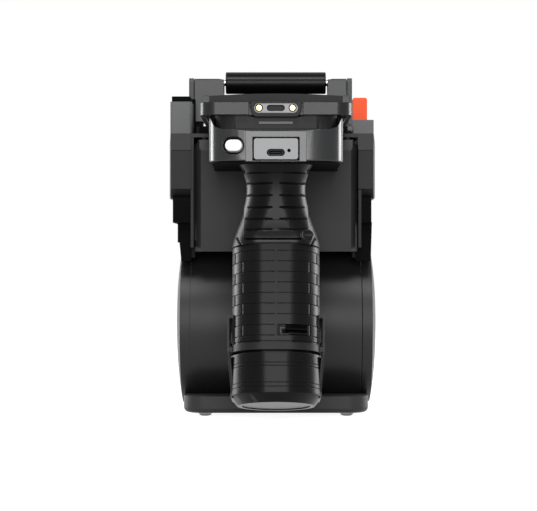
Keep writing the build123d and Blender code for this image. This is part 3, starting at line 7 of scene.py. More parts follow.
import bpy
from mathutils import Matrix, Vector


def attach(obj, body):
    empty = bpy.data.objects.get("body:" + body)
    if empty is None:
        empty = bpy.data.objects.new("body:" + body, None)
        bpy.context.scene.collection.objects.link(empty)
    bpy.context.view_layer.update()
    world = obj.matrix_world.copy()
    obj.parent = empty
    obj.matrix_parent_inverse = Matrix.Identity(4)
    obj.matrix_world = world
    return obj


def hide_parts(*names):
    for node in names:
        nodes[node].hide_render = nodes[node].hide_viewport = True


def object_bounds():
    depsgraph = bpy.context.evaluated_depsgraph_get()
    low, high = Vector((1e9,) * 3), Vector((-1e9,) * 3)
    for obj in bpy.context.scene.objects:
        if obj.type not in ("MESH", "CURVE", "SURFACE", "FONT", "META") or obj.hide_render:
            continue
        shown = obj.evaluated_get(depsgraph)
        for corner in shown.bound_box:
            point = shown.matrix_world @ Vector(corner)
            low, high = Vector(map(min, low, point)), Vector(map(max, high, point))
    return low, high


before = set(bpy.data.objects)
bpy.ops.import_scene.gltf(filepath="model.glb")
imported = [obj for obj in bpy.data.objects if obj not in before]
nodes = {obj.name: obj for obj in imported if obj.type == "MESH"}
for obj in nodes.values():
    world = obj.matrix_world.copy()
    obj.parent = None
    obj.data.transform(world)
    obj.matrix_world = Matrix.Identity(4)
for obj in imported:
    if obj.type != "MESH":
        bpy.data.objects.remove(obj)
cad_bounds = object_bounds()

# The camera stands where the operator would, level with the middle of the printer. The photograph is
# 537 pixels wide, the object's middle plane is at pixel 276 of it, and eye level is at pixel 255.
photo_width_px = 537
photo_height_px = 511
middle_px = 276
eye_level_px = 255
near_distance = 0.9         # from the camera to the cradle's rear face
near_scale = 0.00053        # metres per pixel at that distance
cradle_rear_y = -0.153
eye_height = 0.0936
sensor_width = 36
bpy.ops.object.camera_add(
    location=(0, cradle_rear_y - near_distance, eye_height), rotation=(pi / 2, 0, 0)
)
camera = bpy.context.object
camera.data.sensor_width = sensor_width
camera.data.lens = sensor_width * near_distance / (photo_width_px * near_scale)
camera.data.shift_x = (photo_width_px / 2 - middle_px) / photo_width_px
camera.data.shift_y = (eye_level_px - photo_height_px / 2) / photo_width_px
camera.data.clip_start = 0.01
camera.data.dof.use_dof = False
bpy.context.scene.camera = camera
bpy.context.scene.view_settings.view_transform = "Standard"

# The floor is a plain pale studio sweep that the four bumpers stand on. It shows as white to the
# camera and in reflections, and keeps the shadow under the printer.
floor_half = 3.0
floor_colour = (0.45, 0.45, 0.45, 1)
floor_glow = 0.92
bumper_drop = cad_bounds[0][2]


def seen_rays(tree):
    """One where the camera, a mirror or a glass looks at the floor or the room, and else nought."""
    rays = tree.nodes.new("ShaderNodeLightPath")
    camera_or_mirror = tree.nodes.new("ShaderNodeMath")
    camera_or_mirror.operation = "MAXIMUM"
    tree.links.new(rays.outputs["Is Camera Ray"], camera_or_mirror.inputs[0])
    tree.links.new(rays.outputs["Is Glossy Ray"], camera_or_mirror.inputs[1])
    any_of_three = tree.nodes.new("ShaderNodeMath")
    any_of_three.operation = "MAXIMUM"
    tree.links.new(camera_or_mirror.outputs[0], any_of_three.inputs[0])
    tree.links.new(rays.outputs["Is Transmission Ray"], any_of_three.inputs[1])
    return any_of_three.outputs[0]


bpy.ops.mesh.primitive_plane_add(size=2 * floor_half, location=(0, 0, bumper_drop))
floor = bpy.context.object
floor.name = "studio_floor"
floor_material = bpy.data.materials.new("studio_floor_paint")
floor_material.use_nodes = True
floor_tree = floor_material.node_tree
floor_tree.nodes.clear()
floor_strength = floor_tree.nodes.new("ShaderNodeMath")
floor_strength.operation = "MULTIPLY"
floor_strength.inputs[1].default_value = floor_glow
floor_tree.links.new(seen_rays(floor_tree), floor_strength.inputs[0])
floor_emission = floor_tree.nodes.new("ShaderNodeEmission")
floor_tree.links.new(floor_strength.outputs[0], floor_emission.inputs["Strength"])
floor_diffuse = floor_tree.nodes.new("ShaderNodeBsdfDiffuse")
floor_diffuse.inputs["Color"].default_value = floor_colour
floor_sum = floor_tree.nodes.new("ShaderNodeAddShader")
floor_tree.links.new(floor_diffuse.outputs[0], floor_sum.inputs[0])
floor_tree.links.new(floor_emission.outputs[0], floor_sum.inputs[1])
floor_output = floor_tree.nodes.new("ShaderNodeOutputMaterial")
floor_tree.links.new(floor_sum.outputs[0], floor_output.inputs["Surface"])
floor.data.materials.append(floor_material)

# The room's light is an even white dome that fills the shadows. The camera, and reflections in metal
# and glass, see it as plain white.
dome_light = 0.2
dome_white = 1.0
dome = bpy.data.worlds.new("studio_dome")
dome.use_nodes = True
bpy.context.scene.world = dome
dome_tree = dome.node_tree
dome_tree.nodes.clear()
dome_strength = dome_tree.nodes.new("ShaderNodeMapRange")
dome_strength.inputs["To Min"].default_value = dome_light
dome_strength.inputs["To Max"].default_value = dome_white
dome_tree.links.new(seen_rays(dome_tree), dome_strength.inputs["Value"])
dome_background = dome_tree.nodes.new("ShaderNodeBackground")
dome_background.inputs["Color"].default_value = (1, 1, 1, 1)
dome_tree.links.new(dome_strength.outputs["Result"], dome_background.inputs["Strength"])
dome_output = dome_tree.nodes.new("ShaderNodeOutputWorld")
dome_tree.links.new(dome_background.outputs[0], dome_output.inputs["Surface"])


# Softboxes on stands. A tall one behind the camera fills the faces towards the operator, a wide one
# above it lights every face that leans back, and one on each side, a little behind the printer, draws
# the bright edges of the rounded parts and leaves the dark band beside them.
lamps_aim = Vector((0, -0.08, 0.11))


def softbox(name, place, width, height, watts):
    """One rectangular lamp that faces the middle of the printer."""
    aim = lamps_aim - Vector(place)
    bpy.ops.object.light_add(type="AREA", location=place, rotation=aim.to_track_quat("-Z", "Y").to_euler())
    lamp = bpy.context.object
    lamp.name = name
    lamp.data.shape = "RECTANGLE"
    lamp.data.size = width
    lamp.data.size_y = height
    lamp.data.energy = watts
    return lamp


softbox("operator_softbox", (0.0, -1.75, 0.4), 0.52, 0.74, 14)
softbox("top_softbox", (0.0, -0.95, 1.3), 0.7, 0.4, 19)
softbox("left_edge_box", (-0.95, 0.45, 0.25), 0.5, 1.2, 19)
softbox("right_edge_box", (0.95, 0.45, 0.25), 0.5, 1.2, 19)


# The base plate stands under the drum and is screwed to it from below. Like the other black housings
# it is injection-moulded plastic with a fine spark-eroded grain: satin, a little uneven, and paler
# along the edges that hands rub.
def moulded_plastic(
    name, colour, roughness, grain=0.00035, relief=0.25, specular=0.15, edge=0.0004, rub=0.3
):
    """A grained plastic whose grain, cloudiness and rubbed edges are worked out from its own place."""
    made = bpy.data.materials.new(name)
    made.use_nodes = True
    tree = made.node_tree
    shader = tree.nodes["Principled BSDF"]
    place = tree.nodes.new("ShaderNodeTexCoord").outputs["Object"]
    clouds = tree.nodes.new("ShaderNodeTexNoise")
    clouds.inputs["Scale"].default_value = 35
    clouds.inputs["Detail"].default_value = 3
    tree.links.new(place, clouds.inputs["Vector"])
    tint = tree.nodes.new("ShaderNodeMix")
    tint.data_type = "RGBA"
    tint.inputs["A"].default_value = (*[0.85 * c for c in colour], 1)
    tint.inputs["B"].default_value = (*[1.15 * c for c in colour], 1)
    tree.links.new(clouds.outputs["Fac"], tint.inputs["Factor"])
    rounding = tree.nodes.new("ShaderNodeBevel")
    rounding.samples = 4
    rounding.inputs["Radius"].default_value = edge
    flat = tree.nodes.new("ShaderNodeNewGeometry").outputs["Normal"]
    likeness = tree.nodes.new("ShaderNodeVectorMath")
    likeness.operation = "DOT_PRODUCT"
    tree.links.new(rounding.outputs[0], likeness.inputs[0])
    tree.links.new(flat, likeness.inputs[1])
    rubbed = tree.nodes.new("ShaderNodeMapRange")
    rubbed.inputs["From Min"].default_value = 0.99
    rubbed.inputs["From Max"].default_value = 0.75
    rubbed.inputs["To Max"].default_value = rub
    tree.links.new(likeness.outputs["Value"], rubbed.inputs["Value"])
    pale = tree.nodes.new("ShaderNodeMix")
    pale.data_type = "RGBA"
    pale.inputs["B"].default_value = (*[min(1.0, 2.2 * c + 0.02) for c in colour], 1)
    tree.links.new(rubbed.outputs["Result"], pale.inputs["Factor"])
    tree.links.new(tint.outputs["Result"], pale.inputs["A"])
    tree.links.new(pale.outputs["Result"], shader.inputs["Base Color"])
    sheen = tree.nodes.new("ShaderNodeMapRange")
    sheen.inputs["To Min"].default_value = roughness - 0.05
    sheen.inputs["To Max"].default_value = roughness + 0.05
    tree.links.new(clouds.outputs["Fac"], sheen.inputs["Value"])
    tree.links.new(sheen.outputs["Result"], shader.inputs["Roughness"])
    grains = tree.nodes.new("ShaderNodeTexNoise")
    grains.inputs["Scale"].default_value = 1 / grain
    grains.inputs["Detail"].default_value = 2
    tree.links.new(place, grains.inputs["Vector"])
    bump = tree.nodes.new("ShaderNodeBump")
    bump.inputs["Strength"].default_value = relief
    bump.inputs["Distance"].default_value = 0.1 * grain
    tree.links.new(grains.outputs["Fac"], bump.inputs["Height"])
    tree.links.new(rounding.outputs[0], bump.inputs["Normal"])
    tree.links.new(bump.outputs[0], shader.inputs["Normal"])
    shader.inputs["Specular IOR Level"].default_value = specular
    return made


def dress(material, *names):
    """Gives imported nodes, whose shape is right as it is, their material."""
    for name in names:
        nodes[name].data.materials.clear()
        nodes[name].data.materials.append(material)


black_shell = moulded_plastic("black_shell", (0.003, 0.003, 0.0032), 0.29, specular=0.08)
plinth_black = moulded_plastic("plinth_black", (0.03, 0.03, 0.031), 0.4, specular=0.14)
dress(plinth_black, "base_plinth")

# Four bumpers of clear rubber, cast as domes and glued on, keep the base plate off the table. Their
# surface is a little hazy.
clear_rubber = bpy.data.materials.new("clear_rubber")
clear_rubber.use_nodes = True
clear_tree = clear_rubber.node_tree
clear_shader = clear_tree.nodes["Principled BSDF"]
clear_shader.inputs["Base Color"].default_value = (0.93, 0.95, 0.97, 1)
clear_shader.inputs["Transmission Weight"].default_value = 0.9
clear_shader.inputs["IOR"].default_value = 1.43
clear_haze = clear_tree.nodes.new("ShaderNodeTexNoise")
clear_haze.inputs["Scale"].default_value = 400
clear_haze_range = clear_tree.nodes.new("ShaderNodeMapRange")
clear_haze_range.inputs["To Min"].default_value = 0.08
clear_haze_range.inputs["To Max"].default_value = 0.22
clear_place = clear_tree.nodes.new("ShaderNodeTexCoord").outputs["Object"]
clear_tree.links.new(clear_place, clear_haze.inputs["Vector"])
clear_tree.links.new(clear_haze.outputs["Fac"], clear_haze_range.inputs["Value"])
clear_tree.links.new(clear_haze_range.outputs["Result"], clear_shader.inputs["Roughness"])
dress(clear_rubber, "bumper_feet")


# Screws, pins and axles are turned steel, some blackened and some left bright, with fine lathe marks.
# They are pressed or screwed into the mouldings.
def machined_metal(name, colour, roughness, marks=2500, depth=0.00002):
    """A metal with fine turned or brushed marks across X and a faintly uneven polish."""
    made = bpy.data.materials.new(name)
    made.use_nodes = True
    tree = made.node_tree
    shader = tree.nodes["Principled BSDF"]
    shader.inputs["Metallic"].default_value = 1
    place = tree.nodes.new("ShaderNodeTexCoord").outputs["Object"]
    stretch = tree.nodes.new("ShaderNodeMapping")
    stretch.inputs["Scale"].default_value = (1, 0.05, 0.05)
    tree.links.new(place, stretch.inputs["Vector"])
    scratches = tree.nodes.new("ShaderNodeTexNoise")
    scratches.inputs["Scale"].default_value = marks
    tree.links.new(stretch.outputs[0], scratches.inputs["Vector"])
    tone = tree.nodes.new("ShaderNodeMix")
    tone.data_type = "RGBA"
    tone.inputs["A"].default_value = (*[0.8 * c for c in colour], 1)
    tone.inputs["B"].default_value = (*colour, 1)
    tree.links.new(scratches.outputs["Fac"], tone.inputs["Factor"])
    tree.links.new(tone.outputs["Result"], shader.inputs["Base Color"])
    polish = tree.nodes.new("ShaderNodeMapRange")
    polish.inputs["To Min"].default_value = roughness - 0.06
    polish.inputs["To Max"].default_value = roughness + 0.06
    tree.links.new(scratches.outputs["Fac"], polish.inputs["Value"])
    tree.links.new(polish.outputs["Result"], shader.inputs["Roughness"])
    bump = tree.nodes.new("ShaderNodeBump")
    bump.inputs["Strength"].default_value = 0.3
    bump.inputs["Distance"].default_value = depth
    tree.links.new(scratches.outputs["Fac"], bump.inputs["Height"])
    tree.links.new(bump.outputs[0], shader.inputs["Normal"])
    return made


blackened_steel = machined_metal("blackened_steel", (0.006, 0.006, 0.0065), 0.42)
bright_steel = machined_metal("bright_steel", (0.42, 0.42, 0.43), 0.3)
dress(blackened_steel, "case_screws", "steel_pins")
dress(bright_steel, "fixed_axles", "cam_shaft", "platen_shaft")

# The media drum is a smoother, glossier black than the housings. It is moulded in three parts: the
# shell, a lens-shaped side on the left, and a door of the same shape that hinges on the right.
drum_gloss = moulded_plastic("drum_gloss", (0.012, 0.012, 0.0125), 0.42, relief=0.1, specular=0.24)
dress(drum_gloss, "drum_shell", "left_drum_disc", "media_door")

# The door's turn-knob, and the other things that the operator moves, are moulded in orange plastic,
# so that they show against the black. The knob snaps into the door's recess.
orange_plastic = moulded_plastic("orange_plastic", (0.78, 0.086, 0.023), 0.42, specular=0.12, rub=0.08)
dress(orange_plastic, "media_door_knob", "left_scan_key", "right_scan_key")

# Inside the drum the roll of labels is wound on a card core, which slides on to a spindle of grey
# plastic. The print head's ceramic block is the same grey.
grey_shell = moulded_plastic("grey_shell", (0.14, 0.14, 0.145), 0.4)
dress(grey_shell, "roll_spindle", "print_head")
label_paper = moulded_plastic("label_paper", (0.8, 0.8, 0.77), 0.55, grain=0.0004, rub=0.0)
dress(label_paper, "label_roll")
core_card = moulded_plastic("core_card", (0.36, 0.24, 0.13), 0.8, grain=0.0009, relief=0.6, rub=0.1)
dress(core_card, "roll_core")

# The print unit's frame and the bracket of its head are bent steel sheet, powder-coated black, with
# an orange-peel surface.
frame_paint = moulded_plastic("frame_paint", (0.006, 0.006, 0.0065), 0.5, grain=0.0012, specular=0.05)
dress(frame_paint, "printer_frame", "head_bracket")

# The platen is a black rubber roller in bronze bushes, driven through a white gear by the brass pinion
# of a stepper motor. The circuit board is fixed behind it. The same rubber covers the applicator's
# roller and the grip, and the same white plastic is the power button's.
rubber_black = moulded_plastic("rubber_black", (0.003, 0.003, 0.0032), 0.28, relief=0.12, specular=0.09)
dress(rubber_black, "platen_rubber", "applicator_roller", "grip_sleeve", "rear_grip_pad")
dress(machined_metal("oiled_bronze", (0.42, 0.25, 0.12), 0.35), "platen_bushes")
dress(machined_metal("brass_gear", (0.62, 0.45, 0.2), 0.3), "motor_pinion")
white_plastic = moulded_plastic("white_plastic", (0.74, 0.74, 0.725), 0.4, specular=0.2, rub=0.0)
dress(white_plastic, "platen_gear", "power_button")
dress(machined_metal("motor_can", (0.3, 0.3, 0.31), 0.45), "motor")
board_green = moulded_plastic("board_green", (0.012, 0.075, 0.03), 0.35, specular=0.4)
dress(board_green, "main_board")

# The print unit's outer shells are dark grey mouldings. The rear plate and the side covers share one
# crease, where their upper edges start to lean forwards, and a moulded line follows it.
mm = 0.001


def only(*chosen):
    """Selects these objects and nothing else."""
    bpy.ops.object.select_all(action="DESELECT")
    for item in chosen:
        item.select_set(True)
    bpy.context.view_layer.objects.active = chosen[0]


def merged_copy(node, name):
    """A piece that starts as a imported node's shape, with its loose triangles joined."""
    piece = bpy.data.objects.new(name, nodes[node].data.copy())
    bpy.context.collection.objects.link(piece)
    piece.data.materials.clear()
    only(piece)
    bpy.ops.object.mode_set(mode="EDIT")
    bpy.ops.mesh.select_all(action="SELECT")
    bpy.ops.mesh.remove_doubles(threshold=0.00001)
    bpy.ops.mesh.dissolve_limited(angle_limit=radians(0.5))
    bpy.ops.object.mode_set(mode="OBJECT")
    return piece


def block(low, high):
    """A block between two corners, as the start of a piece or as a cutter."""
    bpy.ops.object.select_all(action="DESELECT")
    middle = [(a + b) / 2 for a, b in zip(low, high)]
    size = [b - a for a, b in zip(low, high)]
    bpy.ops.mesh.primitive_cube_add(size=1, location=middle, scale=size)
    bpy.ops.object.transform_apply(location=True, rotation=True, scale=True)
    return bpy.context.object


def side_block(side, x_range, y_range, z_range):
    """A block left (-1) or right (1) of the middle, in millimetres, its X counted outwards."""
    inner, outer = sorted(side * x * mm for x in x_range)
    return block((inner, y_range[0] * mm, z_range[0] * mm), (outer, y_range[1] * mm, z_range[1] * mm))


def placed(item):
    """Moves an item's place, turn and size into its mesh."""
    only(item)
    bpy.ops.object.transform_apply(location=True, rotation=True, scale=True)
    return item


def joined(items):
    """One object made of several."""
    only(*items)
    if len(items) > 1:
        bpy.ops.object.join()
    return bpy.context.object


def combine(piece, other, operation="DIFFERENCE"):
    """Cuts, joins or meets a piece with another, which is used up."""
    change = piece.modifiers.new("combine", "BOOLEAN")
    change.operation = operation
    change.solver = "EXACT"
    change.use_self = True
    change.object = other
    only(piece)
    bpy.ops.object.modifier_apply(modifier=change.name)
    bpy.data.objects.remove(other)
    return piece


def groove(piece, cutter, depth):
    """Takes away a piece's outer skin, as deep as asked, inside a cutter."""
    core = bpy.data.objects.new("core", piece.data.copy())
    bpy.context.collection.objects.link(core)
    only(core)
    bpy.ops.object.mode_set(mode="EDIT")
    bpy.ops.mesh.select_all(action="SELECT")
    bpy.ops.transform.shrink_fatten(value=-depth, use_even_offset=True)
    bpy.ops.object.mode_set(mode="OBJECT")
    combine(cutter, core)
    return combine(piece, cutter)


def softened(piece, width, segments=2):
    """Rounds a piece's edges a little, as a mould does."""
    rounding = piece.modifiers.new("softened", "BEVEL")
    rounding.width = width
    rounding.segments = segments
    rounding.limit_method = "ANGLE"
    rounding.angle_limit = radians(35)
    only(piece)
    bpy.ops.object.modifier_apply(modifier=rounding.name)
    return piece


def finish_piece(piece, material, body, replaced, angle=30):
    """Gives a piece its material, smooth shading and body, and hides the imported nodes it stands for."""
    piece.data.materials.clear()
    piece.data.materials.append(material)
    only(piece)
    bpy.ops.object.shade_smooth_by_angle(angle=radians(angle))
    weighting = piece.modifiers.new("weighting", "WEIGHTED_NORMAL")
    weighting.keep_sharp = True
    bpy.ops.object.modifier_apply(modifier=weighting.name)
    if replaced:
        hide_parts(*replaced)
    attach(piece, body)


dark_shell = moulded_plastic("dark_shell", (0.009, 0.009, 0.0094), 0.46, specular=0.14)
crease_z = 155.2 * mm
crease_below = 0.35 * mm
crease_above = 0.1 * mm
crease_depth = 0.3 * mm
for name in ("left_side_cover", "right_side_cover"):
    cover = merged_copy(name, name + "_creased")
    line = block((-0.08, -0.06, crease_z - crease_below), (0.08, 0.06, crease_z + crease_above))
    groove(cover, line, crease_depth)
    finish_piece(cover, dark_shell, "printer", [name])


def leaning(item, start, slope):
    """Splits an item at a height and leans everything above it forwards."""
    only(item)
    bpy.ops.object.mode_set(mode="EDIT")
    bpy.ops.mesh.select_all(action="SELECT")
    bpy.ops.mesh.bisect(plane_co=(0, 0, start), plane_no=(0, 0, 1))
    bpy.ops.object.mode_set(mode="OBJECT")
    for vertex in item.data.vertices:
        if vertex.co.z > start:
            vertex.co.y += slope * (vertex.co.z - start)
    return item


# The rear plate closes the housing towards the operator, and snaps in between the side covers. Its
# middle is proud, and broad chamfers lead from it to the sides.
plate_black = moulded_plastic("plate_black", (0.014, 0.014, 0.0145), 0.45, specular=0.17)
plate_lean = 0.48
chamfer_front_x = 44.4 * mm
chamfer_back_x = 49.6 * mm
rear_plate = merged_copy("rear_plate", "rear_plate_chamfered")
for side in (-1, 1):
    wedge = side_block(side, (44, 52), (-54, -46), (90, 166))
    for vertex in wedge.data.vertices:
        if abs(vertex.co.x) < 45 * mm:
            vertex.co.x = side * (chamfer_front_x if vertex.co.y < -50 * mm else chamfer_back_x)
    combine(rear_plate, leaning(wedge, crease_z, plate_lean))
finish_piece(rear_plate, plate_black, "printer", ["rear_plate"], angle=20)

# A lip of lighter grey plastic frames the plate on three sides, as part of the frame that the plate
# snaps into. Its upright sides lean forwards above the crease, as the plate does.
lip_grey = moulded_plastic("lip_grey", (0.036, 0.0365, 0.037), 0.55, specular=0.04, rub=0.1)
lip_inner = 48.6
lip_outer = 50.3
lip_top = 165.4
lip_bar_lean = 1.1 * mm
lip_parts = []
for side in (-1, 1):
    upright = side_block(side, (lip_inner, lip_outer), (-52.4, -49.6), (98, lip_top))
    lip_parts.append(leaning(upright, crease_z, plate_lean))
top_bar = block((-lip_outer * mm, -47.6 * mm, 163.2 * mm), (lip_outer * mm, -44.7 * mm, lip_top * mm))
for vertex in top_bar.data.vertices:
    if vertex.co.z < 164 * mm:
        vertex.co.y -= lip_bar_lean
lip = combine(combine(lip_parts[0], lip_parts[1], "UNION"), top_bar, "UNION")
lip.name = "plate_lip"
softened(lip, 0.3 * mm)
finish_piece(lip, lip_grey, "printer", [])

# Below the covers the cheeks are painted shade: shade_black is a near-black without sheen that stands for
# the shadow under the covers, and the deck under the terminal and the head cover are given it too. A
# saddle under each cheek closes the space above the drum's rim, and the right one ends ahead of the door's
# swing. A thin shelf, fixed to both, closes the gap from the rear plate to the drum. Saddles and shelf
# are in the same painted shade, for the shadow that falls there.
shade_black = moulded_plastic("shade_black", (0.0028, 0.0028, 0.003), 0.6, specular=0.02, rub=0.15)
dress(shade_black, "side_cheeks", "top_deck", "head_cover")
drum_centre_z = 51.6 * mm
saddle_seat_radius = 50 * mm
shelf_seat_radius = 49.15 * mm
saddle_foot_x = 56.2 * mm


def seated_on_drum(item, seat_radius):
    """Cuts an item's underside to the drum's round."""
    bpy.ops.mesh.primitive_cylinder_add(
        radius=seat_radius, depth=200 * mm, vertices=160,
        location=(0, 0, drum_centre_z), rotation=(0, pi / 2, 0),
    )
    return combine(item, bpy.context.object)


for side, name, saddle_inner_x, saddle_top_x in (
    (-1, "left", 50.2, 58.4 * mm), (1, "right", 47.2, 56.9 * mm),
):
    saddle = side_block(side, (saddle_inner_x, 60.2), (-46, -2), (90, 113.2))
    for vertex in saddle.data.vertices:
        if abs(vertex.co.x) > 55 * mm:
            vertex.co.x = side * (saddle_top_x if vertex.co.z > 100 * mm else saddle_foot_x)
    saddle.name = name + "_drum_saddle"
    finish_piece(seated_on_drum(saddle, saddle_seat_radius), shade_black, "printer", [])
drum_shelf = block((-50.2 * mm, -49.5 * mm, 98.6 * mm), (46.5 * mm, -8 * mm, 102.4 * mm))
drum_shelf.name = "drum_shelf"
finish_piece(seated_on_drum(drum_shelf, shelf_seat_radius), shade_black, "printer", [])

# The front cover, on its hinge pin at the drum, and the chute that guides the labels out are dark grey
# mouldings like the side covers.
dress(dark_shell, "front_cover", "label_chute")

# The latch box on the left cover and the lever's block on the right one are mouldings of a lighter
# grey, screwed on from inside. The latch that slides in the box is black, with ribs for the thumb.
mid_shell = moulded_plastic("mid_shell", (0.1, 0.101, 0.102), 0.42)
dress(mid_shell, "latch_box", "lever_block")
dress(shade_black, "cover_latch")

# The door's knob has a raised grip bar across it, moulded in one with it. The bar is all of the knob
# that the operator sees from behind.
grip_bar = block((59.6 * mm, -2 * mm, 42.8 * mm), (61.3 * mm, 2 * mm, 60.4 * mm))
grip_bar.name = "door_knob_grip_bar"
softened(grip_bar, 0.5 * mm, 3)
finish_piece(grip_bar, orange_plastic, "door_knob", [])

# The applicator: two moulded arms with a pressed outer skin each, and the rubber roller between them
# on its axle. Each arm has a square top corner beside the roller, a moulded line near its top, and
# stands on a black foot through the deck.
arm_grey = moulded_plastic("arm_grey", (0.078, 0.0785, 0.079), 0.4, specular=0.13)
skin_grey = moulded_plastic("skin_grey", (0.052, 0.0525, 0.053), 0.4)
arm_top_line = 204.5 * mm
arm_line_width = 0.35 * mm
arm_line_depth = 0.3 * mm
for name, corner_x, foot_x in (
    ("left_arm", (-38.0, -33.25), (-51.6, -46.6)), ("right_arm", (32.95, 37.7), (44.7, 48.4)),
):
    arm = merged_copy(name, name + "_lined")
    corner = block((corner_x[0] * mm, 25 * mm, 196 * mm), (corner_x[1] * mm, 45 * mm, 205.2 * mm))
    combine(arm, softened(corner, 0.4 * mm), "UNION")
    line = block((-0.08, 0.02, arm_top_line), (0.08, 0.05, arm_top_line + arm_line_width))
    groove(arm, line, arm_line_depth)
    finish_piece(arm, arm_grey, "printer", [name])
    foot = block((foot_x[0] * mm, 24.5 * mm, 165.8 * mm), (foot_x[1] * mm, 42 * mm, 178.2 * mm))
    foot.name = name + "_foot"
    softened(foot, 0.5 * mm)
    finish_piece(foot, shade_black, "printer", [])
dress(skin_grey, "arm_skins")

# A block of near-black without sheen stands on the deck between the latch box and the left arm: painted
# shade for the shadowed gap behind the latch box. It also hides the arm's fixing.
latch_gap_shade_block = block((-53.9 * mm, 17.4 * mm, 166 * mm), (-50.9 * mm, 22.8 * mm, 192 * mm))
latch_gap_shade_block.name = "left_arm_painted_shade"
softened(latch_gap_shade_block, 0.3 * mm)
finish_piece(latch_gap_shade_block, shade_black, "printer", [])

# The lever block's face goes on below the notch that it leaves for the head cover: a cheek of the same
# grey plastic, moulded in one with the block.
filler = block((44.8 * mm, 11 * mm, 171.6 * mm), (48.15 * mm, 23 * mm, 178 * mm))
filler.name = "lever_block_cheek"
finish_piece(filler, mid_shell, "printer", [])

# The head lever is an orange moulding with rounded edges, pressed on to the end of the cam's shaft.
# Turning it back lifts the print head off the platen.
lever = merged_copy("head_lever", "head_lever_rounded")
softened(lever, 0.8 * mm, 3)
finish_piece(lever, orange_plastic, "head_lever", ["head_lever"])

# The grip: a neck with a rubber-faced rear insert, and the rubber sleeve below it that holds the
# battery. The sleeve's tiles are moulded as fine grooves: rings all round, and short joints at the
# corners that change place from row to row.
grip_rake = radians(11.5)
grip_knee = (0, -0.1144, 0.0951)
grip_half_width = 23.85 * mm
grip_half_depth = 23.5 * mm
grip_corner = 17 * mm
tile_start = 3.7 * mm
tile_pitch = 5.77 * mm
tile_rows = 9
tile_groove = 0.45 * mm
tile_groove_depth = 0.45 * mm
tile_middle_left = -0.7 * mm
tile_middle_right = 0.9 * mm
tile_joint_even = 22.2 * mm
tile_joint_odd = 18.2 * mm
foot_seams = (52.9 * mm, 54.5 * mm)
foot_seam_half = 0.2 * mm
reach = 1.3 * grip_half_width       # of a cutter, past the grip's surface on every side


def leaned(item):
    """Puts an item that was made upright, with the grip's knee at the origin, in the grip's place."""
    item.rotation_euler = (-grip_rake, 0, 0)
    item.location = grip_knee
    return placed(item)


def cut_with_painted_shade(piece, node, cutters, depth, shade_name):
    """Cuts slots as deep as asked into a piece's rear face, and returns a near-black lining for them:
    painted shade for the shadow inside the slots.
    """
    behind = merged_copy(node, "behind_the_slots")
    behind.location.y = depth
    slots = combine(joined(cutters), placed(behind))
    slot_shade = slots.copy()
    slot_shade.data = slots.data.copy()
    slot_shade.name = shade_name
    bpy.context.collection.objects.link(slot_shade)
    combine(slot_shade, merged_copy(node, "painted_shade_reach"), "INTERSECT")
    combine(piece, slots)
    return slot_shade


sleeve = merged_copy("grip_sleeve", "grip_sleeve_tiles")
cutters = []
for row in range(tile_rows):
    level = -(tile_start + row * tile_pitch)
    for left, right in ((-reach, tile_middle_left), (tile_middle_right, reach)):
        cutters.append(
            block((left, -reach, level - tile_groove / 2), (right, reach, level + tile_groove / 2))
        )
    if row < tile_rows - 1:
        joint_x = tile_joint_odd if row % 2 else tile_joint_even
        past_corner = joint_x - (grip_half_width - grip_corner)
        surface = grip_half_depth - grip_corner + (grip_corner**2 - past_corner**2) ** 0.5
        for side in (-1, 1):
            cutters.append(
                block(
                    (side * joint_x - tile_groove / 2, -surface - mm, level - tile_pitch),
                    (side * joint_x + tile_groove / 2, -surface + 1.2 * mm, level),
                )
            )
cutters.append(
    block(
        (0.6 * mm, -reach, -(tile_start + 8 * tile_pitch)),
        (1.1 * mm, -grip_half_depth + mm, -(tile_start + 7 * tile_pitch)),
    )
)
for seam in foot_seams:
    cutters.append(block((-reach, -reach, -seam - foot_seam_half), (reach, reach, -seam + foot_seam_half)))
groove(sleeve, leaned(joined(cutters)), tile_groove_depth)
finish_piece(sleeve, rubber_black, "printer", ["grip_sleeve"])

# The rear insert is a thin facing of the same rubber, bonded into the neck. It has five rows of slots
# with a plain middle, and their near-black lining is painted shade for the shadow inside them.
insert_slot_depth = 0.5 * mm
insert_plain_half = 1.85
slot_half = 0.45
slot_rows = ((132.5, 16.2), (126.0, 16.2), (119.6, 15.5), (113.3, 16.8), (107.6, 17.2))
insert = merged_copy("rear_grip_pad", "rear_grip_insert")
cutters = [
    side_block(side, (insert_plain_half, slot_end), (-150, -110), (level - slot_half, level + slot_half))
    for level, slot_end in slot_rows for side in (-1, 1)
]
insert_slot_shade = cut_with_painted_shade(insert, "rear_grip_pad", cutters, insert_slot_depth, "insert_slot_painted_shade")
finish_piece(insert_slot_shade, shade_black, "printer", [])
finish_piece(insert, rubber_black, "printer", ["rear_grip_pad"])

# The battery's cap is a hard black moulding with two shallow double rings and a chamfered foot,
# welded to the battery's case. It comes out with the battery, and so do its two side rails.
cap_rings = (64.6 * mm, 66.3 * mm, 75.2 * mm, 77.4 * mm)
cap_ring_half = 0.18 * mm
cap_ring_depth = 0.3 * mm
cap = merged_copy("battery_cap", "battery_cap_ringed")
cutters = []
for ring in cap_rings:
    cutters.append(block((-reach, -reach, -ring - cap_ring_half), (reach, reach, -ring + cap_ring_half)))
groove(cap, leaned(joined(cutters)), cap_ring_depth)
finish_piece(cap, black_shell, "battery", ["battery_cap"])
for side, name in ((-1, "left"), (1, "right")):
    rail = side_block(side, (24.2, 26.0), (-12, 12), (-82, -59.8))
    rail.name = name + "_cap_rail"
    for vertex in rail.data.vertices:
        if vertex.co.z < -80 * mm:
            vertex.co.x -= side * 2 * mm
            vertex.co.y *= 0.8
    combine(rail, side_block(side, (25.3, 27), (-14, 14), (-77, -75.8)))
    softened(leaned(rail), 0.35 * mm)
    finish_piece(rail, black_shell, "battery", [])

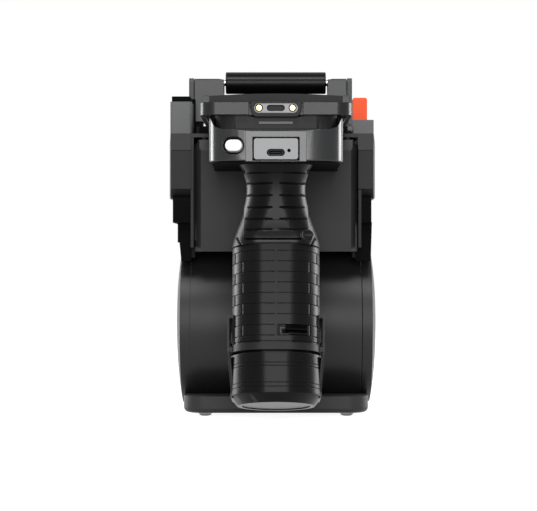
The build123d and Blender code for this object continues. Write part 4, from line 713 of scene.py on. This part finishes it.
# Hoops of grey plastic, moulded on to the sleeve, guard the two squeeze buttons of the battery catch.
# Each is open for its button and has a channel in its outer face.
for side, name in ((-1, "left"), (1, "right")):
    hoop = side_block(side, (21.8, 26.2), (-11.5, 11.5), (-57.4, -36.8))
    hoop.name = name + "_catch_hoop"
    combine(hoop, side_block(side, (20, 28), (-8.5, 8.5), (-52.8, -38.2)))
    combine(hoop, side_block(side, (23.4, 25.2), (-13, 13), (-54.5, -38.8)))
    softened(leaned(hoop), 0.6 * mm, 3)
    finish_piece(hoop, lip_grey, "printer", [])

# The neck is the hard black moulding between the cradle and the sleeve. It shows four short slits:
# two upright ones beside the insert's top corners and two slanting ones at the bottom corners. Their
# near-black lining is painted shade for the shadow inside them.
slit_depth = 1.2 * mm
slit_half_width = 0.55 * mm
neck = merged_copy("neck_housing", "neck_housing_slit")
cutters = []
for side in (-1, 1):
    for slit_x, slit_z, half_height, slant in ((17.65, 138.2, 2.0, 0), (20.1, 100.8, 2.6, side * 32)):
        slit = block(
            (-slit_half_width, -160 * mm, -half_height * mm), (slit_half_width, -118 * mm, half_height * mm)
        )
        slit.rotation_euler = (0, radians(slant), 0)
        slit.location = (side * slit_x * mm, 0, slit_z * mm)
        cutters.append(placed(slit))
neck_slit_shade = cut_with_painted_shade(neck, "neck_housing", cutters, slit_depth, "neck_slit_painted_shade")
finish_piece(neck_slit_shade, shade_black, "printer", [])
finish_piece(neck, black_shell, "printer", ["neck_housing"])

# The trigger, the battery's case and its two squeeze buttons are hard black mouldings like the neck.
# The collar that the battery slides through is dark grey, screwed to the sleeve's end.
dress(black_shell, "trigger", "battery_pack", "left_battery_release", "right_battery_release")
dress(dark_shell, "battery_collar")

# The grip's screw holds the neck's two halves together. A light grey bar across its blackened head is a
# painted highlight: the streak of light that the head's recess catches.
screw_highlight_bar = block((14.9 * mm, -129.15 * mm, 103.7 * mm), (19.7 * mm, -128.6 * mm, 105.0 * mm))
screw_highlight_bar.name = "grip_screw_painted_highlight"
softened(screw_highlight_bar, 0.15 * mm)
finish_piece(screw_highlight_bar, lip_grey, "printer", [])

# The cradle is a dark grey moulded trough on top of the grip. Its rear wall is rounded in plan, with a
# flat panel that stands a little proud in the middle, and its rim is a saddle between two horns.
cradle_grey = moulded_plastic("cradle_grey", (0.009, 0.0095, 0.0102), 0.23, relief=0.12, specular=0.36)
cradle_plan = (
    (0, -153), (16.2, -153), (20, -152.75), (24, -152.2), (27, -151.5), (29.5, -150.5), (31.5, -149.2),
    (33.3, -147.4), (34.7, -145.1), (35.5, -142.5), (36, -139.5), (36, -48),
)
cradle_wall = 2.6
cradle_half_width = 36
cradle_bottom = 143.4
cradle_floor = 146.4
cradle_side_top = 160.6
cradle_horn_top = 168.2
horn_end = -137
saddle_rim = (
    (0, 159.3), (15.5, 159.5), (29.3, 160.7), (32.6, 161.9), (34.6, 165.3), (35.3, 167.3), (36.5, 168.2),
)
cradle_charge_slot = (-4.9, 4.7, 146.0, 149.8)
plate_opening_low = (-12.4 * mm, -160 * mm, 143.6 * mm)


def prism(half_plan, low, high):
    """A solid with a plan that is the same on both sides, between two heights, in millimetres."""
    plan = [point for point in half_plan if point[0] > 0]
    plan = [(-x, y) for x, y in plan] + plan[::-1]
    bpy.ops.object.select_all(action="DESELECT")
    bpy.ops.mesh.primitive_circle_add(vertices=len(plan), radius=0.1, fill_type="NGON")
    made = bpy.context.object
    for vertex, (x, y) in zip(made.data.vertices, plan):
        vertex.co = (x * mm, y * mm, low * mm)
    bpy.ops.object.mode_set(mode="EDIT")
    bpy.ops.mesh.select_all(action="SELECT")
    bpy.ops.mesh.extrude_region_move(TRANSFORM_OT_translate={"value": (0, 0, (high - low) * mm)})
    bpy.ops.mesh.select_all(action="SELECT")
    bpy.ops.mesh.normals_make_consistent(inside=False)
    bpy.ops.object.mode_set(mode="OBJECT")
    return placed(made)


def between(pairs, x):
    """The value at x on a line through pairs of (place, value)."""
    for (x0, v0), (x1, v1) in zip(pairs, pairs[1:]):
        if x <= x1:
            return v0 + (v1 - v0) * (x - x0) / (x1 - x0)
    return pairs[-1][1]


def stadium(x0, x1, z0, z1, near, far, corner=None):
    """A bar along Y with rounded corners, pill-shaped unless their radius is given, in millimetres."""
    bar = block((x0 * mm, near * mm, z0 * mm), (x1 * mm, far * mm, z1 * mm))
    bar_ends = bar.modifiers.new("ends", "BEVEL")
    bar_ends.width = (corner or 0.499 * (z1 - z0)) * mm
    bar_ends.segments = 8
    bar_ends.limit_method = "WEIGHT"
    weights = bar.data.attributes.new("bevel_weight_edge", "FLOAT", "EDGE")
    for edge in bar.data.edges:
        start, end = (bar.data.vertices[i].co for i in edge.vertices)
        runs_along_y = abs(start.y - end.y) > 0.5 * abs(far - near) * mm
        weights.data[edge.index].value = 1.0 if runs_along_y else 0.0
    only(bar)
    bpy.ops.object.modifier_apply(modifier=bar_ends.name)
    return bar


cradle = prism(cradle_plan, cradle_bottom, cradle_horn_top)
cradle.name = "cradle_trough"
softened(cradle, 0.9 * mm)
inner_plan = [
    (
        x * (cradle_half_width - cradle_wall) / cradle_half_width,
        y + cradle_wall if y < -100 else y - cradle_wall,
    )
    for x, y in cradle_plan
]
combine(cradle, prism(inner_plan, cradle_floor, 175))
combine(
    cradle, block((-40 * mm, horn_end * mm, cradle_side_top * mm), (40 * mm, -40 * mm, 180 * mm))
)
saddle = block((-37.5 * mm, -160 * mm, 160 * mm), (37.5 * mm, (horn_end + 1) * mm, 180 * mm))
only(saddle)
bpy.ops.object.mode_set(mode="EDIT")
for step in range(-cradle_half_width, cradle_half_width + 1):
    bpy.ops.mesh.select_all(action="SELECT")
    bpy.ops.mesh.bisect(plane_co=(step * mm, 0, 0), plane_no=(1, 0, 0))
bpy.ops.object.mode_set(mode="OBJECT")
for vertex in saddle.data.vertices:
    if vertex.co.z < 170 * mm:
        vertex.co.z = between(saddle_rim, abs(vertex.co.x) / mm) * mm
combine(cradle, saddle)
combine(cradle, stadium(-28.4, -16.8, 147.0, 156.5, -155, -151.0))
combine(cradle, block(plate_opening_low, (12.4 * mm, -151.3 * mm, 156.1 * mm)))
combine(cradle, stadium(*cradle_charge_slot, -155, -145))
finish_piece(cradle, cradle_grey, "printer", ["cradle_shell"], angle=40)

# The middle of the cradle's rear wall is a flat panel that stands a little proud, moulded in one with
# it. It has the opening for the charging socket's plate.
panel = block((-16.2 * mm, -153.5 * mm, 143.2 * mm), (16.2 * mm, -152.6 * mm, 159.3 * mm))
panel.name = "cradle_rear_panel"
combine(panel, block(plate_opening_low, (12.4 * mm, -150 * mm, 156.1 * mm)))
softened(panel, 0.15 * mm)
finish_piece(panel, cradle_grey, "printer", [])

# A ring of black plastic lines the power button's opening, a black backing shows in the seam round the
# charging plate, and a black plate under the cradle is painted shade: it stands for the shadow on the
# cradle's underside.
ring = stadium(-28.2, -17.0, 147.2, 156.3, -152.3, -151.1)
ring.name = "button_ring"
combine(ring, stadium(-27.1, -17.5, 148.1, 155.1, -155, -148))
finish_piece(ring, shade_black, "printer", [])
backing = block((-12.3 * mm, -151.45 * mm, 143.7 * mm), (12.3 * mm, -151.2 * mm, 156.0 * mm))
backing.name = "charging_plate_backing"
combine(backing, stadium(*cradle_charge_slot, -155, -145))
finish_piece(backing, shade_black, "printer", [])
# Painted shade: this near-black plate stands for the shadow on the cradle's underside.
underside = prism([(x * 0.97, y + 1.2 if y < -100 else y) for x, y in cradle_plan], 142.9, 143.6)
underside.name = "cradle_underside_painted_shade"
finish_piece(underside, shade_black, "printer", [])

# The charging socket's plate is a moulded insert of lighter grey with rounded corners, pressed into
# the panel. Beside the socket it has a pinhole.
plate = stadium(-11.7, 11.7, 144.3, 155.4, -153.7, -151.5, corner=1.3)
plate.name = "charging_plate"
combine(plate, stadium(*cradle_charge_slot, -155, -150))
combine(plate, stadium(6.0, 7.8, 148.0, 149.9, -155, -150))
softened(plate, 0.25 * mm)
plate_grey = moulded_plastic("plate_grey", (0.24, 0.243, 0.246), 0.4, specular=0.2)
finish_piece(plate, plate_grey, "printer", ["usb_panel"])

# The plate that the terminal rests on lies on the cradle's walls. It is a black moulding, with its
# corners cut to the cradle's rounded plan.
rest = merged_copy("cradle_plate", "cradle_rest_plate")
combine(rest, block((-40 * mm, -160 * mm, 140 * mm), (40 * mm, -147.2 * mm, 170 * mm)))
rest_plan = [(x * 0.985, y + 0.4 if y < -100 else y) for x, y in inner_plan]
combine(rest, prism(rest_plan, 150, 165), "INTERSECT")
finish_piece(rest, black_shell, "printer", ["cradle_plate"])

# The cradle's charging socket is a drawn steel shell with a tongue inside, soldered to a small board
# behind the plate. Its mouth shows as a grey ring in the blackened recess.
dress(blackened_steel, "charge_port")
shell_ring = stadium(-4.3, 4.1, 146.5, 149.3, -152.8, -150.0)
shell_ring.name = "charge_port_shell"
combine(shell_ring, stadium(-3.75, 3.55, 147.0, 148.8, -155, -149))
combine(shell_ring, stadium(-2.7, 2.5, 147.65, 148.15, -152.3, -149.6, corner=0.1), "UNION")
finish_piece(shell_ring, lip_grey, "printer", [])

# The terminal's port block: a dark moulded surround with slanting ends on the rear edge, and a lighter
# window plate pressed into it that holds a charging socket between two sprung gold contacts.
surround_bottom_taper = 0.017
surround_top = 175.1
port_charge_slot = (-4.9, 4.7, 170.0, 173.2)
contact_places = ((-9.0, "left"), (8.8, "right"))
contact_height = 171.6
contact_radius = 1.65
contact_hole_radius = 2.1


def disc_along_y(x, y, z, radius, depth):
    """A round bar along Y about a point, in millimetres."""
    bpy.ops.object.select_all(action="DESELECT")
    bpy.ops.mesh.primitive_cylinder_add(
        radius=radius * mm, depth=depth * mm, vertices=32,
        location=(x * mm, y * mm, z * mm), rotation=(pi / 2, 0, 0),
    )
    return bpy.context.object


surround = stadium(-14.4, 14.4, 166.9, surround_top, -153.1, -149.6, corner=2.3)
surround.name = "port_surround"
for vertex in surround.data.vertices:
    vertex.co.x *= 1 - surround_bottom_taper * (surround_top * mm - vertex.co.z) / mm
softened(surround, 0.4 * mm)
combine(surround, stadium(-11.7, 11.7, 168.9, 174.2, -160, -152.3))
finish_piece(surround, dark_shell, "terminal", ["terminal_port"])
window = stadium(-11.65, 11.65, 168.95, 174.15, -152.75, -152.2)
window.name = "port_window"
combine(window, stadium(*port_charge_slot, -160, -150))
for place, _ in contact_places:
    combine(window, disc_along_y(place, -153, contact_height, contact_hole_radius, 4))
finish_piece(window, plate_grey, "terminal", [])

# The two charging contacts are turned brass pins, gold-plated and sprung, with a rounded rim. They
# stand in the window plate's round holes.
gold = machined_metal("gold_contact", (0.95, 0.62, 0.28), 0.22)
for place, name in contact_places:
    contact = placed(disc_along_y(place, -152.6, contact_height, contact_radius, 1.2))
    contact.name = name + "_charging_contact"
    softened(contact, 0.45 * mm, 3)
    finish_piece(contact, gold, "terminal", [])

# The socket between the contacts is a drawn steel shell, blackened, with its tongue inside. It is
# soldered to the terminal's board and shows through the window plate.
socket = stadium(-4.85, 4.65, 170.05, 173.15, -152.9, -148)
socket.name = "terminal_socket"
combine(socket, stadium(-4.35, 4.15, 170.5, 172.7, -155, -148.6))
combine(socket, stadium(-3.1, 2.9, 171.35, 171.85, -152.2, -148.3, corner=0.1), "UNION")
finish_piece(socket, blackened_steel, "terminal", [])

# The terminal's back is a dark moulded belly that dips into the cradle between its horns, with a skirt
# behind the cradle's rim. A light grey bar lies on it under the port block.
belly_black = moulded_plastic("belly_black", (0.011, 0.0113, 0.012), 0.4, specular=0.11)
belly_plan = [
    (16, -149.9), (20, -149.7), (24, -149.2), (27, -148.4), (29.5, -147.3), (31, -146), (32.2, -144.3),
    (33, -141.5), (33.2, -137.5), (38.6, -136.6), (38.6, 6),
]
belly = merged_copy("terminal_back", "terminal_belly")
combine(belly, block((-31 * mm, -149.3 * mm, 158.0 * mm), (31 * mm, -147.8 * mm, 162 * mm)), "UNION")
combine(belly, prism(belly_plan, 157, 168.4), "INTERSECT")
finish_piece(belly, belly_black, "terminal", ["terminal_back"], angle=22)
bar_grey = moulded_plastic("bar_grey", (0.14, 0.141, 0.144), 0.4)
bar = block((-9.1 * mm, -150.1 * mm, 163.3 * mm), (8.9 * mm, -149.2 * mm, 164.6 * mm))
bar.name = "belly_bar"
finish_piece(bar, bar_grey, "terminal", [])

# The terminal's frame is a dark grey moulding that runs round its edge, with a satin sheen. The bezel
# clips over it, and the display's glass is bonded into the bezel.
frame_grey = moulded_plastic("frame_grey", (0.012, 0.0125, 0.0132), 0.28, relief=0.12, specular=0.17)
dress(frame_grey, "terminal_frame")
bezel_black = moulded_plastic("bezel_black", (0.022, 0.022, 0.0225), 0.5, specular=0.06)
dress(bezel_black, "terminal_bezel")
dress(drum_gloss, "display_glass")
